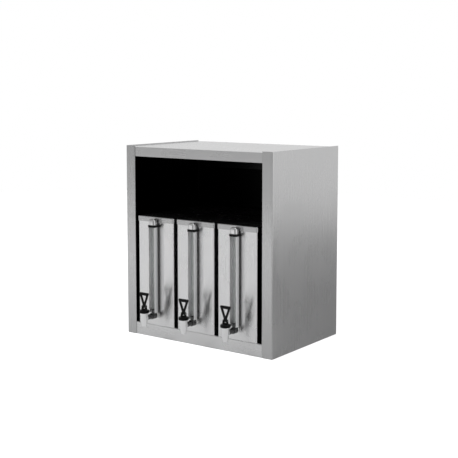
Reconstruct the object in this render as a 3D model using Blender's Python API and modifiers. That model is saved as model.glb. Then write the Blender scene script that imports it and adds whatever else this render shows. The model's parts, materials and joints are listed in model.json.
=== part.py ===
"""Stainless steel wall cabinet with three lift-out drink tanks, each with a sight gauge and a lever tap.

Metres, +Z up, open front towards -Y. The origin lies on the wall plane, midway between the two keyholes
that the cabinet hangs on. Inside the script the cabinet is laid out from its own front plane and base,
and each tank from its front face and bottom.
"""

import math

import bmesh
import bpy
from mathutils import Matrix, Vector

# Sheet metal
SHEET = 0.0012
BEND = 0.003
BEND_STEPS = 2
FIT = 0.0003
CUT_MARGIN = 0.004

# Cabinet
FRONT_FLANGE = 0.040
FLANGE_RETURN = 0.012
TOP_DROP = 0.004
TOP_LIP = 0.032
FLOOR_HEIGHT = 0.043
SHELF_SPACE = 0.2009
REAR_SPACE = 0.028
BACK_EDGE = 0.018

# Hanging rail inside the back, and the keyholes through both
RAIL_HEIGHT = 0.060
RAIL_THICKNESS = 0.003
RAIL_BELOW_LIP = 0.0005
RAIL_OVERHANG = 0.040
KEYHOLE_SPACING = 0.440
KEYHOLE_DROP = 0.0095
KEYHOLE_HEAD = 0.007
KEYHOLE_SLOT = 0.0035
KEYHOLE_RISE = 0.014

# Hat section under the floor
STIFFENER_WIDTH = 0.050
STIFFENER_DEPTH = 0.025
STIFFENER_FOOT = 0.018

# Tanks
TANK_NAMES = ("left", "middle", "right")
TANK_WIDTH = 0.152
TANK_DEPTH = 0.374
TANK_HEIGHT = 0.3685
TANK_GAP = 0.016
TANK_PROUD = 0.002
TANK_SHEET = 0.001
TANK_CORNER = 0.003
TANK_RIM = 0.008

# Lids
LID_SHEET = 0.001
LID_SKIRT = 0.017
LID_PLAY = 0.0015
LID_CORNER = 0.0055
LID_EDGE = 0.002

# Shank through the tank front, its seal and its nut
SHANK_HEIGHT = 0.036
SHANK_RADIUS = 0.008
SHANK_BORE = 0.0045
SHANK_INSIDE = 0.016
SHANK_COLLAR_RADIUS = 0.0108
SHANK_COLLAR = 0.004
SHANK_SPIGOT = 0.0045
SEAL_RADIUS = 0.0100
SEAL_THICKNESS = 0.002
NUT_ACROSS = 0.025
NUT_THICKNESS = 0.007

# Gauge tee in front of the shank
GAUGE_OUT = 0.015
TEE_RADIUS = 0.011
TEE_SPIGOT_RADIUS = 0.007
TEE_SPIGOT = 0.011
NECK_PLAY = 0.0005
NECK_RISE = 0.021
SOCKET_RISE = 0.0095
FEED_RADIUS = 0.003

# Sight gauge
GLASS_RADIUS = 0.005
GLASS_WALL = 0.0012
GLAND_RADIUS = 0.0068
GLAND_DEPTH = 0.005
GLAND_PROUD = 0.001
GUARD_WIDTH = 0.025
GUARD_DEPTH = 0.0185
GUARD_SHEET = 0.001
GUARD_BEND = 0.0025
CLIP_HEIGHT = 0.008
CLIP_WALL = 0.0012
CLIP_BELOW_LID = 0.008
CAP_HEIGHT = 0.020
CAP_SOCKET = 0.010
CAP_CORNER = 0.007
CAP_CROWN = 0.006
CAP_STEPS = 4

# Tap, with heights from the shank's axis
TAP_OUT = 0.063
TAP_ARM_RADIUS = 0.0088
TAP_RADIUS = 0.0125
TAP_SHOULDER = 0.0185
TAP_NECK = 0.006
TAP_NECK_RADIUS = 0.0103
CHAMBER_RADIUS = 0.0075
SEAT_DROP = 0.004
SEAT_HOLE = 0.0045
SEAT_LAND = 0.0045
SPOUT_LENGTH = 0.0225
SPOUT_RADIUS = 0.0085
SPOUT_BORE = 0.0065
INLET_RADIUS = 0.003

# Bonnet with its two ears
BONNET_RADIUS = 0.016
BONNET_HEIGHT = 0.0095
BONNET_EDGE = 0.0012
EAR_FOOT = 0.0098
EAR_TOP = 0.0078
EAR_HALF_DEPTH = 0.0048
EAR_ABOVE_PIN = 0.0045

# Lever and pin
PIN_ABOVE_BONNET = 0.0105
PIN_RADIUS = 0.0016
LEVER_HEIGHT = 0.048
LEVER_TOP = 0.041
LEVER_FOOT = 0.0106
LEVER_WAIST = 0.0105
LEVER_WAIST_RISE = 0.0078
LEVER_THICKNESS = 0.007
LEVER_EYE = 0.0036
LEVER_BAR = 0.0095
LEVER_LEG = 0.0062
LEVER_CORNER = 0.0022
TAIL_REACH = 0.007
TAIL_HALF = 0.002

# Cranked valve stem and seat cup
STEM_RADIUS = 0.0018
STEM_CRANK = 0.0075
STEM_BAR = 0.002
STEM_BAR_HALF = 0.0024
STEM_BAR_CORNER = 0.0022
STEM_LIFT = 0.0042
STEM_COLLAR_RADIUS = 0.0037
STEM_COLLAR = 0.0026
STEM_PLAY = 0.0006
CUP_RADIUS = 0.0062
CUP_HEIGHT = 0.009
CUP_FLOOR = 0.0025

# Facets
ROUND = 20
FINE_ROUND = 12
ARC_STEPS = 3

# Worked out from the sizes above
TANK_PITCH = TANK_WIDTH + TANK_GAP
CABINET_WIDTH = len(TANK_NAMES) * TANK_PITCH + TANK_GAP + 2 * FRONT_FLANGE
CABINET_DEPTH = TANK_DEPTH - TANK_PROUD + REAR_SPACE
LID_TOP = TANK_HEIGHT + FIT + LID_SHEET
CABINET_HEIGHT = FLOOR_HEIGHT + FIT + LID_TOP + SHELF_SPACE + TOP_LIP + TOP_DROP
TOP_LEVEL = CABINET_HEIGHT - TOP_DROP
LIP_LEVEL = TOP_LEVEL - TOP_LIP
INNER_HALF = CABINET_WIDTH / 2 - SHEET - FIT
RAIL_TOP = LIP_LEVEL - RAIL_BELOW_LIP
HANG_HEIGHT = RAIL_TOP - KEYHOLE_DROP

SEAL_FRONT = FIT + SEAL_THICKNESS
COLLAR_BACK = SEAL_FRONT + FIT
COLLAR_FRONT = COLLAR_BACK + SHANK_COLLAR
SHANK_FRONT = COLLAR_FRONT + SHANK_SPIGOT
TEE_BACK = COLLAR_FRONT + FIT
TEE_FRONT = GAUGE_OUT + TEE_RADIUS
TEE_SPIGOT_FRONT = TEE_FRONT + TEE_SPIGOT
TAP_ARM_BACK = TEE_FRONT + FIT

SKIRT_LEVEL = LID_TOP - LID_SKIRT
GUARD_TOP = SKIRT_LEVEL - CLIP_BELOW_LID
GUARD_BOTTOM = SHANK_HEIGHT + TEE_RADIUS + FIT
NECK_RADIUS = GUARD_DEPTH / 2 - GUARD_SHEET - NECK_PLAY
CAP_LEVEL = GUARD_TOP + FIT
GLASS_BOTTOM = SHANK_HEIGHT + SOCKET_RISE + FIT
GLASS_TOP = CAP_LEVEL + CAP_SOCKET - FIT

NECK_TOP = TAP_SHOULDER + TAP_NECK
BONNET_BOTTOM = TAP_SHOULDER + FIT
BONNET_TOP = BONNET_BOTTOM + BONNET_HEIGHT
PIN_RISE = BONNET_TOP + PIN_ABOVE_BONNET
EAR_INNER = LEVER_FOOT / 2 + FIT
COLLAR_RISE = PIN_RISE + TAIL_HALF + FIT
BAR_RISE = PIN_RISE - LEVER_EYE - FIT - STEM_LIFT - STEM_BAR / 2

# Turns a piece made along +Z so that it points out of the front, along -Y
TO_FRONT = Matrix.Rotation(math.pi / 2, 4, "X")
# Turns a piece made along +Z so that it points along +X
TO_SIDE = Matrix.Rotation(math.pi / 2, 4, "Y")


def clear_scene():
    for obj in list(bpy.data.objects):
        bpy.data.objects.remove(obj, do_unlink=True)


def new_collection(name):
    collection = bpy.data.collections.new(name)
    bpy.context.scene.collection.children.link(collection)
    return collection


def finish(name, colour, roughness, metallic, transmission=0.0):
    material = bpy.data.materials.new(name)
    material.use_nodes = True
    shader = material.node_tree.nodes["Principled BSDF"]
    shader.inputs["Base Color"].default_value = (*colour, 1.0)
    shader.inputs["Roughness"].default_value = roughness
    shader.inputs["Metallic"].default_value = metallic
    shader.inputs["Transmission Weight"].default_value = transmission
    return material


clear_scene()
parts = new_collection("wall_cabinet")
helpers = new_collection("cutters")
helpers.hide_render = True

brushed = finish("brushed_steel", (0.62, 0.62, 0.62), 0.34, 1.0)
tank_steel = finish("tank_steel", (0.66, 0.66, 0.66), 0.28, 1.0)
dark_steel = finish("shaded_steel", (0.02, 0.02, 0.02), 0.5, 0.0)
polished = finish("polished_metal", (0.78, 0.78, 0.79), 0.1, 1.0)
black_plastic = finish("black_plastic", (0.012, 0.012, 0.012), 0.35, 0.0)
silicone = finish("silicone", (0.55, 0.54, 0.52), 0.6, 0.0)
glass = finish("gauge_glass", (0.9, 0.94, 0.93), 0.04, 0.0, 1.0)


def new_empty(name, parent, location):
    empty = bpy.data.objects.new(name, None)
    parts.objects.link(empty)
    empty.parent = parent
    empty.location = location
    return empty


def add_part(name, mesh, parent, material, location=(0, 0, 0), turn=None):
    obj = bpy.data.objects.new(name, mesh)
    parts.objects.link(obj)
    obj.parent = parent
    obj.location = location
    if turn:
        obj.rotation_euler = turn.to_euler()
    mesh.materials.append(material)
    return obj


def add_helper(name, mesh, parent, location=(0, 0, 0), turn=None):
    obj = bpy.data.objects.new(name, mesh)
    helpers.objects.link(obj)
    obj.parent = parent
    obj.location = location
    if turn:
        obj.rotation_euler = turn.to_euler()
    obj.hide_render = True
    obj.display_type = "WIRE"
    return obj


def boolean(obj, other, operation):
    modifier = obj.modifiers.new(f"{operation.lower()} {other.name}", "BOOLEAN")
    modifier.object = other
    modifier.operation = operation
    modifier.solver = "EXACT"


def cut(obj, other):
    boolean(obj, other, "DIFFERENCE")


def join(obj, other):
    boolean(obj, other, "UNION")


def thicken(obj, thickness, offset):
    modifier = obj.modifiers.new("sheet", "SOLIDIFY")
    modifier.thickness = thickness
    modifier.offset = offset
    modifier.use_even_offset = True


def to_mesh(bm, name, smooth=False):
    mesh = bpy.data.meshes.new(name)
    bm.to_mesh(mesh)
    bm.free()
    if smooth:
        mesh.shade_smooth()
        mesh.set_sharp_from_angle(angle=math.radians(35))
    return mesh


def box_mesh(name, low, high):
    bm = bmesh.new()
    bmesh.ops.create_cube(bm, size=1)
    bmesh.ops.scale(bm, vec=[b - a for a, b in zip(low, high)], verts=bm.verts)
    bmesh.ops.translate(bm, vec=[(a + b) / 2 for a, b in zip(low, high)], verts=bm.verts)
    return to_mesh(bm, name)


def rod_mesh(name, radius, start, end, sides):
    bm = bmesh.new()
    bmesh.ops.create_cone(
        bm, cap_ends=True, segments=sides, radius1=radius, radius2=radius, depth=end - start
    )
    bmesh.ops.translate(bm, vec=(0, 0, (start + end) / 2), verts=bm.verts)
    return to_mesh(bm, name, smooth=True)


def turned_mesh(name, profile, closed):
    """The outline of a turned piece, as (radius, height) points that run down its outer side."""
    bm = bmesh.new()
    verts = [bm.verts.new((radius, 0, height)) for radius, height in profile]
    for pair in zip(verts, verts[1:]):
        bm.edges.new(pair)
    if closed:
        bm.edges.new((verts[-1], verts[0]))
    return to_mesh(bm, name)


def spin(obj, steps):
    modifier = obj.modifiers.new("turn", "SCREW")
    modifier.axis = "Z"
    modifier.steps = steps
    modifier.render_steps = steps
    modifier.use_merge_vertices = True
    modifier.merge_threshold = 0.00001
    modifier.use_smooth_shade = True


def turned_part(name, profile, parent, material, location, turn=None, closed=False, steps=ROUND):
    obj = add_part(name, turned_mesh(name, profile, closed), parent, material, location, turn)
    spin(obj, steps)
    return obj


def turned_helper(name, profile, parent, location, turn=None, steps=ROUND):
    obj = add_helper(name, turned_mesh(name, profile, False), parent, location, turn)
    spin(obj, steps)
    return obj


def stepped_rod(steps):
    """Profile of a solid of stacked cylinders, from (radius, low, high) given from the top down."""
    profile = [(0, steps[0][2])]
    for radius, low, high in steps:
        profile += [(radius, high), (radius, low)]
    return profile + [(0, steps[-1][1])]


def ring(inner, outer, low, high):
    return [(outer, high), (outer, low), (inner, low), (inner, high)]


def rounded(points, radius, closed):
    """The outline with each of its corners replaced by an arc of the given radius."""
    result = []
    count = len(points)
    for index, (x, y) in enumerate(points):
        if not closed and index in (0, count - 1):
            result.append((x, y))
            continue
        before = points[index - 1]
        after = points[(index + 1) % count]
        a = math.atan2(before[1] - y, before[0] - x)
        b = math.atan2(after[1] - y, after[0] - x)
        half = (b - a) % (2 * math.pi) / 2
        middle = a + half
        if half > math.pi / 2:
            half = math.pi - half
            middle += math.pi
        reach = radius / math.sin(half)
        centre = (x + reach * math.cos(middle), y + reach * math.sin(middle))
        first = math.atan2(y - centre[1], x - centre[0]) - (math.pi / 2 - half)
        swing = math.pi - 2 * half
        turn = (x - before[0]) * (after[1] - y) - (y - before[1]) * (after[0] - x)
        for step in range(ARC_STEPS + 1):
            share = step / ARC_STEPS if turn > 0 else 1 - step / ARC_STEPS
            angle = first + swing * share
            result.append((centre[0] + radius * math.cos(angle), centre[1] + radius * math.sin(angle)))
    return result


def circle(radius, sides, centre=(0, 0)):
    turns = [2 * math.pi * step / sides for step in range(sides)]
    return [(centre[0] + radius * math.cos(t), centre[1] + radius * math.sin(t)) for t in turns]


def plate_mesh(name, outlines, thickness):
    """A flat plate in the XY plane, half its thickness to each side, from an outline and its holes."""
    curve = bpy.data.curves.new(name, "CURVE")
    curve.dimensions = "2D"
    curve.fill_mode = "BOTH"
    curve.extrude = thickness / 2
    for outline in outlines:
        spline = curve.splines.new("POLY")
        spline.points.add(len(outline) - 1)
        for point, (x, y) in zip(spline.points, outline):
            point.co = (x, y, 0, 1)
        spline.use_cyclic_u = True
    guide = bpy.data.objects.new(name, curve)
    helpers.objects.link(guide)
    graph = bpy.context.evaluated_depsgraph_get()
    mesh = bpy.data.meshes.new_from_object(guide.evaluated_get(graph))
    bpy.data.objects.remove(guide, do_unlink=True)
    bm = bmesh.new()
    bm.from_mesh(mesh)
    bmesh.ops.remove_doubles(bm, verts=bm.verts, dist=0.000001)
    bmesh.ops.recalc_face_normals(bm, faces=bm.faces)
    bm.to_mesh(mesh)
    bm.free()
    return mesh


def bent_strip(name, path, direction):
    """An open strip along a bent path. Its faces look to the right of the path, seen against direction."""
    bm = bmesh.new()
    verts = [bm.verts.new(point) for point in path]
    edges = [bm.edges.new(pair) for pair in zip(verts, verts[1:])]
    along = verts[1].co - verts[0].co
    made = bmesh.ops.extrude_edge_only(bm, edges=edges)["geom"]
    bmesh.ops.translate(bm, vec=direction, verts=[v for v in made if isinstance(v, bmesh.types.BMVert)])
    bm.normal_update()
    bm.faces.ensure_lookup_table()
    nearest = min(bm.faces, key=lambda face: (face.calc_center_median() - verts[0].co).length)
    wanted = along.cross(direction)
    if nearest.normal.dot(wanted) < 0:
        bmesh.ops.reverse_faces(bm, faces=bm.faces)
    return to_mesh(bm, name, smooth=True)


def open_box(low, high, open_up):
    """A box without its top or its bottom face."""
    bm = bmesh.new()
    bmesh.ops.create_cube(bm, size=1)
    bmesh.ops.scale(bm, vec=[b - a for a, b in zip(low, high)], verts=bm.verts)
    bmesh.ops.translate(bm, vec=[(a + b) / 2 for a, b in zip(low, high)], verts=bm.verts)
    bm.normal_update()
    lid = [face for face in bm.faces if (face.normal.z > 0.5 if open_up else face.normal.z < -0.5)]
    bmesh.ops.delete(bm, geom=lid, context="FACES_ONLY")
    return bm


def round_edges(bm, radius, upright, steps=BEND_STEPS):
    """Rounds the upright edges of an open box, or those round its closed face."""
    def picked(edge):
        rise = abs(edge.verts[0].co.z - edge.verts[1].co.z)
        return rise > radius if upright else rise < 1e-7 and len(edge.link_faces) == 2
    edges = [edge for edge in bm.edges if picked(edge)]
    bmesh.ops.bevel(
        bm, geom=edges, offset=radius, segments=steps, profile=0.5, affect="EDGES", clamp_overlap=True
    )


def side_panel(name, side, cabinet):
    """Side wall, bent round the front corner into a flange with a return. side is -1 left, +1 right."""
    outer = CABINET_WIDTH / 2
    edge = outer - FRONT_FLANGE
    corners = [(-edge, FLANGE_RETURN), (-edge, 0), (-outer, 0), (-outer, CABINET_DEPTH)]
    if side > 0:
        corners = [(-x, y) for x, y in reversed(corners)]
    path = [(x, y, 0) for x, y in rounded(corners, BEND, False)]
    mesh = bent_strip(name, path, Vector((0, 0, CABINET_HEIGHT)))
    panel = add_part(name, mesh, cabinet, brushed)
    thicken(panel, SHEET, 1)
    # The return stops short of the top and floor panels, which run behind the flange.
    reach = sorted((side * (edge - CUT_MARGIN), side * (edge + BEND + CUT_MARGIN)))
    depth = (SHEET + FIT / 2, FLANGE_RETURN + CUT_MARGIN)
    notch_for_trays(panel, cabinet, reach, depth)


def notch_for_trays(panel, cabinet, across, depth):
    zones = {
        "top": (LIP_LEVEL - FIT, CABINET_HEIGHT + CUT_MARGIN),
        "floor": (-CUT_MARGIN, FLOOR_HEIGHT + FIT),
    }
    for zone, (low, high) in zones.items():
        name = f"{panel.name}_{zone}_notch_{'left' if sum(across) < 0 else 'right'}"
        mesh = box_mesh(name, (across[0], depth[0], low), (across[1], depth[1], high))
        cut(panel, add_helper(name, mesh, cabinet))


def tray(name, top, height, cabinet):
    """A sheet with all four edges bent down, between the side panels and behind their flanges."""
    low = (-INNER_HALF, SHEET + FIT, top - height)
    high = (INNER_HALF, CABINET_DEPTH - SHEET - FIT, top)
    bm = open_box(low, high, open_up=False)
    round_edges(bm, BEND, upright=True)
    round_edges(bm, BEND, upright=False)
    panel = add_part(name, to_mesh(bm, name, smooth=True), cabinet, brushed)
    thicken(panel, SHEET, -1)


def keyhole_outline():
    """Round head with a narrower slot above it, centred on the slot's upper end."""
    drop = math.sqrt(KEYHOLE_HEAD ** 2 - KEYHOLE_SLOT ** 2)
    start = math.acos(KEYHOLE_SLOT / KEYHOLE_HEAD)
    sweep = 2 * math.pi - (math.pi - 2 * start)
    outline = []
    for step in range(FINE_ROUND + 1):
        angle = math.pi - start + sweep * step / FINE_ROUND
        outline.append((KEYHOLE_HEAD * math.cos(angle), KEYHOLE_HEAD * math.sin(angle) - KEYHOLE_RISE - drop))
    for step in range(FINE_ROUND // 2 + 1):
        angle = math.pi * step / (FINE_ROUND // 2)
        outline.append((KEYHOLE_SLOT * math.cos(angle), KEYHOLE_SLOT * math.sin(angle)))
    return outline


def back_panel(cabinet):
    corners = [
        (-INNER_HALF, CABINET_DEPTH - BACK_EDGE),
        (-INNER_HALF, CABINET_DEPTH),
        (INNER_HALF, CABINET_DEPTH),
        (INNER_HALF, CABINET_DEPTH - BACK_EDGE),
    ]
    path = [(x, y, 0) for x, y in rounded(corners, BEND, False)]
    mesh = bent_strip("back_panel", path, Vector((0, 0, TOP_LEVEL)))
    panel = add_part("back_panel", mesh, cabinet, dark_steel)
    thicken(panel, SHEET, 1)
    depth = (CABINET_DEPTH - BACK_EDGE - CUT_MARGIN, CABINET_DEPTH - SHEET - FIT / 2)
    for side in (-1, 1):
        across = sorted((side * (INNER_HALF - BEND - CUT_MARGIN), side * (INNER_HALF + CUT_MARGIN)))
        notch_for_trays(panel, cabinet, across, depth)
    return panel


def hanger_rail(cabinet):
    """Flat bar against the inside of the back panel, which takes the weight at the keyholes."""
    half = KEYHOLE_SPACING / 2 + RAIL_OVERHANG
    front = CABINET_DEPTH - SHEET - FIT - RAIL_THICKNESS
    low = (-half, front, RAIL_TOP - RAIL_HEIGHT)
    high = (half, front + RAIL_THICKNESS, RAIL_TOP)
    return add_part("hanger_rail", box_mesh("hanger_rail", low, high), cabinet, brushed)


def keyholes(cabinet, cut_panels):
    reach = 2 * (SHEET + FIT + RAIL_THICKNESS + CUT_MARGIN)
    for side, name in ((-1, "keyhole_left"), (1, "keyhole_right")):
        mesh = plate_mesh(name, [keyhole_outline()], reach)
        place = (side * KEYHOLE_SPACING / 2, CABINET_DEPTH, HANG_HEIGHT)
        cutter = add_helper(name, mesh, cabinet, place, TO_FRONT)
        for panel in cut_panels:
            cut(panel, cutter)


def floor_stiffener(cabinet):
    """Hat section that carries the floor between the cabinet's sides."""
    middle = CABINET_DEPTH / 2
    half = STIFFENER_WIDTH / 2
    top = FLOOR_HEIGHT - SHEET - FIT
    corners = [
        (middle - half - STIFFENER_FOOT, top),
        (middle - half, top),
        (middle - half, top - STIFFENER_DEPTH),
        (middle + half, top - STIFFENER_DEPTH),
        (middle + half, top),
        (middle + half + STIFFENER_FOOT, top),
    ]
    reach = INNER_HALF - SHEET - BEND
    path = [(-reach, y, z) for y, z in rounded(corners, BEND, False)]
    mesh = bent_strip("floor_stiffener", path, Vector((2 * reach, 0, 0)))
    stiffener = add_part("floor_stiffener", mesh, cabinet, brushed)
    thicken(stiffener, SHEET, 1)


def tank_shell(side, tank):
    """Folded and welded box with a rim turned inwards and a hole for the shank."""
    half = TANK_WIDTH / 2
    bm = open_box((-half, 0, 0), (half, TANK_DEPTH, TANK_HEIGHT), open_up=True)
    round_edges(bm, TANK_CORNER, upright=True)
    round_edges(bm, TANK_CORNER, upright=False)
    mouth = [edge for edge in bm.edges if len(edge.link_faces) == 1]
    made = bmesh.ops.extrude_edge_only(bm, edges=mouth)["geom"]
    rim = [v for v in made if isinstance(v, bmesh.types.BMVert)]
    inward = ((half - TANK_RIM) / half, (TANK_DEPTH / 2 - TANK_RIM) / (TANK_DEPTH / 2), 1)
    centre = Matrix.Translation((0, -TANK_DEPTH / 2, 0))
    bmesh.ops.scale(bm, vec=inward, space=centre, verts=rim)
    name = f"tank_shell_{side}"
    shell = add_part(name, to_mesh(bm, name, smooth=True), tank, tank_steel)
    thicken(shell, TANK_SHEET, -1)
    hole = rod_mesh(f"shank_hole_{side}", SHANK_RADIUS + FIT, -CUT_MARGIN, CUT_MARGIN, ROUND)
    cut(shell, add_helper(f"shank_hole_{side}", hole, tank, (0, 0, SHANK_HEIGHT), TO_FRONT))


def tank_lid(side, tank):
    """Shallow pan that drops over the rim, with its origin at the middle of the rim."""
    across = TANK_WIDTH / 2 + LID_PLAY + LID_SHEET
    deep = TANK_DEPTH / 2 + LID_PLAY + LID_SHEET
    bm = open_box((-across, -deep, LID_SHEET - LID_SKIRT), (across, deep, LID_SHEET), open_up=False)
    round_edges(bm, LID_CORNER, upright=True)
    round_edges(bm, LID_EDGE, upright=False)
    name = f"tank_lid_{side}"
    place = (0, TANK_DEPTH / 2, TANK_HEIGHT + FIT)
    lid = add_part(name, to_mesh(bm, name, smooth=True), tank, tank_steel, place)
    thicken(lid, LID_SHEET, -1)


def shank(side, tank):
    """Tube through the tank front with a round collar outside, its seal, and the nut inside."""
    place = (0, 0, SHANK_HEIGHT)
    tube = [
        (SHANK_RADIUS, SHANK_FRONT),
        (SHANK_RADIUS, COLLAR_FRONT),
        (SHANK_COLLAR_RADIUS, COLLAR_FRONT),
        (SHANK_COLLAR_RADIUS, COLLAR_BACK),
        (SHANK_RADIUS, COLLAR_BACK),
        (SHANK_RADIUS, -SHANK_INSIDE),
        (SHANK_BORE, -SHANK_INSIDE),
        (SHANK_BORE, SHANK_FRONT),
    ]
    turned_part(f"tank_shank_{side}", tube, tank, polished, place, TO_FRONT, closed=True)
    washer = ring(SHANK_RADIUS + FIT, SEAL_RADIUS, FIT, SEAL_FRONT)
    turned_part(f"shank_seal_{side}", washer, tank, silicone, place, TO_FRONT, closed=True)
    hexagon = circle(NUT_ACROSS / math.sqrt(3), 6)
    hole = circle(SHANK_RADIUS + FIT, ROUND)
    name = f"shank_nut_{side}"
    inside = TANK_SHEET + FIT + NUT_THICKNESS / 2
    nut = plate_mesh(name, [hexagon, hole], NUT_THICKNESS)
    add_part(name, nut, tank, polished, (0, inside, SHANK_HEIGHT), TO_FRONT)


def gauge_tee(side, tank):
    """Block on the shank that feeds the gauge above it and the tap in front of it."""
    place = (0, 0, SHANK_HEIGHT)
    barrel = stepped_rod([
        (TEE_SPIGOT_RADIUS, TEE_FRONT, TEE_SPIGOT_FRONT),
        (TEE_RADIUS, TEE_BACK, TEE_FRONT),
    ])
    tee = turned_part(f"gauge_tee_{side}", barrel, tank, polished, place, TO_FRONT)
    upright = (0, -GAUGE_OUT, SHANK_HEIGHT)
    neck = rod_mesh(f"tee_neck_{side}", NECK_RADIUS, 0, NECK_RISE, ROUND)
    join(tee, add_helper(f"tee_neck_{side}", neck, tank, upright))
    through = stepped_rod([
        (SHANK_BORE, SHANK_FRONT, TEE_SPIGOT_FRONT + CUT_MARGIN),
        (SHANK_RADIUS + FIT, TEE_BACK - CUT_MARGIN, SHANK_FRONT + FIT),
    ])
    cut(tee, turned_helper(f"tee_bore_{side}", through, tank, place, TO_FRONT))
    socket = stepped_rod([
        (GLAND_RADIUS, NECK_RISE - GLAND_DEPTH, NECK_RISE + CUT_MARGIN),
        (GLASS_RADIUS + FIT, SOCKET_RISE, NECK_RISE - GLAND_DEPTH),
        (FEED_RADIUS, 0, SOCKET_RISE),
    ])
    cut(tee, turned_helper(f"tee_socket_{side}", socket, tank, upright))


def sight_gauge(side, tank):
    """Glass tube in its rubber gland, and the channel that guards it."""
    base = (0, -GAUGE_OUT, 0)
    tube = ring(GLASS_RADIUS - GLASS_WALL, GLASS_RADIUS, GLASS_BOTTOM, GLASS_TOP)
    turned_part(f"gauge_glass_{side}", tube, tank, glass, base, closed=True, steps=FINE_ROUND)
    gland_top = SHANK_HEIGHT + NECK_RISE + GLAND_PROUD
    gland_bottom = SHANK_HEIGHT + NECK_RISE - GLAND_DEPTH + FIT
    gland = ring(GLASS_RADIUS + FIT, GLAND_RADIUS - FIT, gland_bottom, gland_top)
    turned_part(f"gauge_seal_{side}", gland, tank, black_plastic, base, closed=True)

    half = GUARD_WIDTH / 2
    front = -GUARD_DEPTH / 2
    corners = [(-half, front), (-half, -front), (half, -front), (half, front)]
    path = [(x, y, GUARD_BOTTOM) for x, y in rounded(corners, GUARD_BEND, False)]
    name = f"gauge_guard_{side}"
    mesh = bent_strip(name, path, Vector((0, 0, GUARD_TOP - GUARD_BOTTOM)))
    guard = add_part(name, mesh, tank, polished, base)
    thicken(guard, GUARD_SHEET, 1)


def gauge_cap(side, tank):
    """Block with a rounded crown on the guard, with a socket for the top of the glass."""
    half = GUARD_WIDTH / 2
    deep = GUARD_DEPTH / 2
    bm = open_box((-half, -deep, 0), (half, deep, CAP_HEIGHT), open_up=False)
    round_edges(bm, CAP_CORNER, upright=True, steps=CAP_STEPS)
    round_edges(bm, CAP_CROWN, upright=False, steps=CAP_STEPS)
    bmesh.ops.holes_fill(bm, edges=bm.edges)
    name = f"gauge_cap_{side}"
    place = (0, -GAUGE_OUT, CAP_LEVEL)
    cap = add_part(name, to_mesh(bm, name, smooth=True), tank, polished, place)
    socket = rod_mesh(f"cap_socket_{side}", GLASS_RADIUS + FIT, -CUT_MARGIN, CAP_SOCKET, FINE_ROUND)
    cut(cap, add_helper(f"cap_socket_{side}", socket, tank, place))


def gauge_clip(side, tank):
    """Black clip round the top of the guard, with a thick back that lies against the tank."""
    hole_x = GUARD_WIDTH / 2 + FIT
    hole_y = GUARD_DEPTH / 2 + FIT
    x = hole_x + CLIP_WALL
    front = -GAUGE_OUT - hole_y - CLIP_WALL
    outline = [(-x, front), (x, front), (x, -FIT), (-x, -FIT)]
    hole = [
        (-hole_x, -GAUGE_OUT - hole_y),
        (hole_x, -GAUGE_OUT - hole_y),
        (hole_x, -GAUGE_OUT + hole_y),
        (-hole_x, -GAUGE_OUT + hole_y),
    ]
    name = f"gauge_clip_{side}"
    mesh = plate_mesh(name, [outline, hole], CLIP_HEIGHT)
    add_part(name, mesh, tank, black_plastic, (0, 0, GUARD_TOP - CLIP_HEIGHT / 2))


def tap_body(side, tank):
    """Turned body and spout with the valve seat inside, and the arm that takes the tee's spigot."""
    place = (0, -TAP_OUT, SHANK_HEIGHT)
    spout_end = -SEAT_DROP - SPOUT_LENGTH
    outside = [
        (0, NECK_TOP),
        (TAP_NECK_RADIUS, NECK_TOP),
        (TAP_NECK_RADIUS, TAP_SHOULDER),
        (TAP_RADIUS, TAP_SHOULDER),
        (TAP_RADIUS, -SEAT_DROP),
        (SPOUT_RADIUS, spout_end),
        (0, spout_end),
    ]
    body = turned_part(f"tap_body_{side}", outside, tank, polished, place)
    axis = (0, 0, SHANK_HEIGHT)
    arm = rod_mesh(f"tap_arm_{side}", TAP_ARM_RADIUS, TAP_ARM_BACK, TAP_OUT, ROUND)
    join(body, add_helper(f"tap_arm_{side}", arm, tank, axis, TO_FRONT))
    chamber = stepped_rod([
        (CHAMBER_RADIUS, -SEAT_DROP, NECK_TOP + CUT_MARGIN),
        (SEAT_HOLE, -SEAT_DROP - SEAT_LAND, -SEAT_DROP),
        (SPOUT_BORE, spout_end - CUT_MARGIN, -SEAT_DROP - SEAT_LAND),
    ])
    cut(body, turned_helper(f"tap_chamber_{side}", chamber, tank, place))
    inlet = stepped_rod([
        (INLET_RADIUS, TEE_SPIGOT_FRONT, TAP_OUT),
        (TEE_SPIGOT_RADIUS + FIT, TAP_ARM_BACK - CUT_MARGIN, TEE_SPIGOT_FRONT + FIT),
    ])
    cut(body, turned_helper(f"tap_inlet_{side}", inlet, tank, axis, TO_FRONT))


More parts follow.
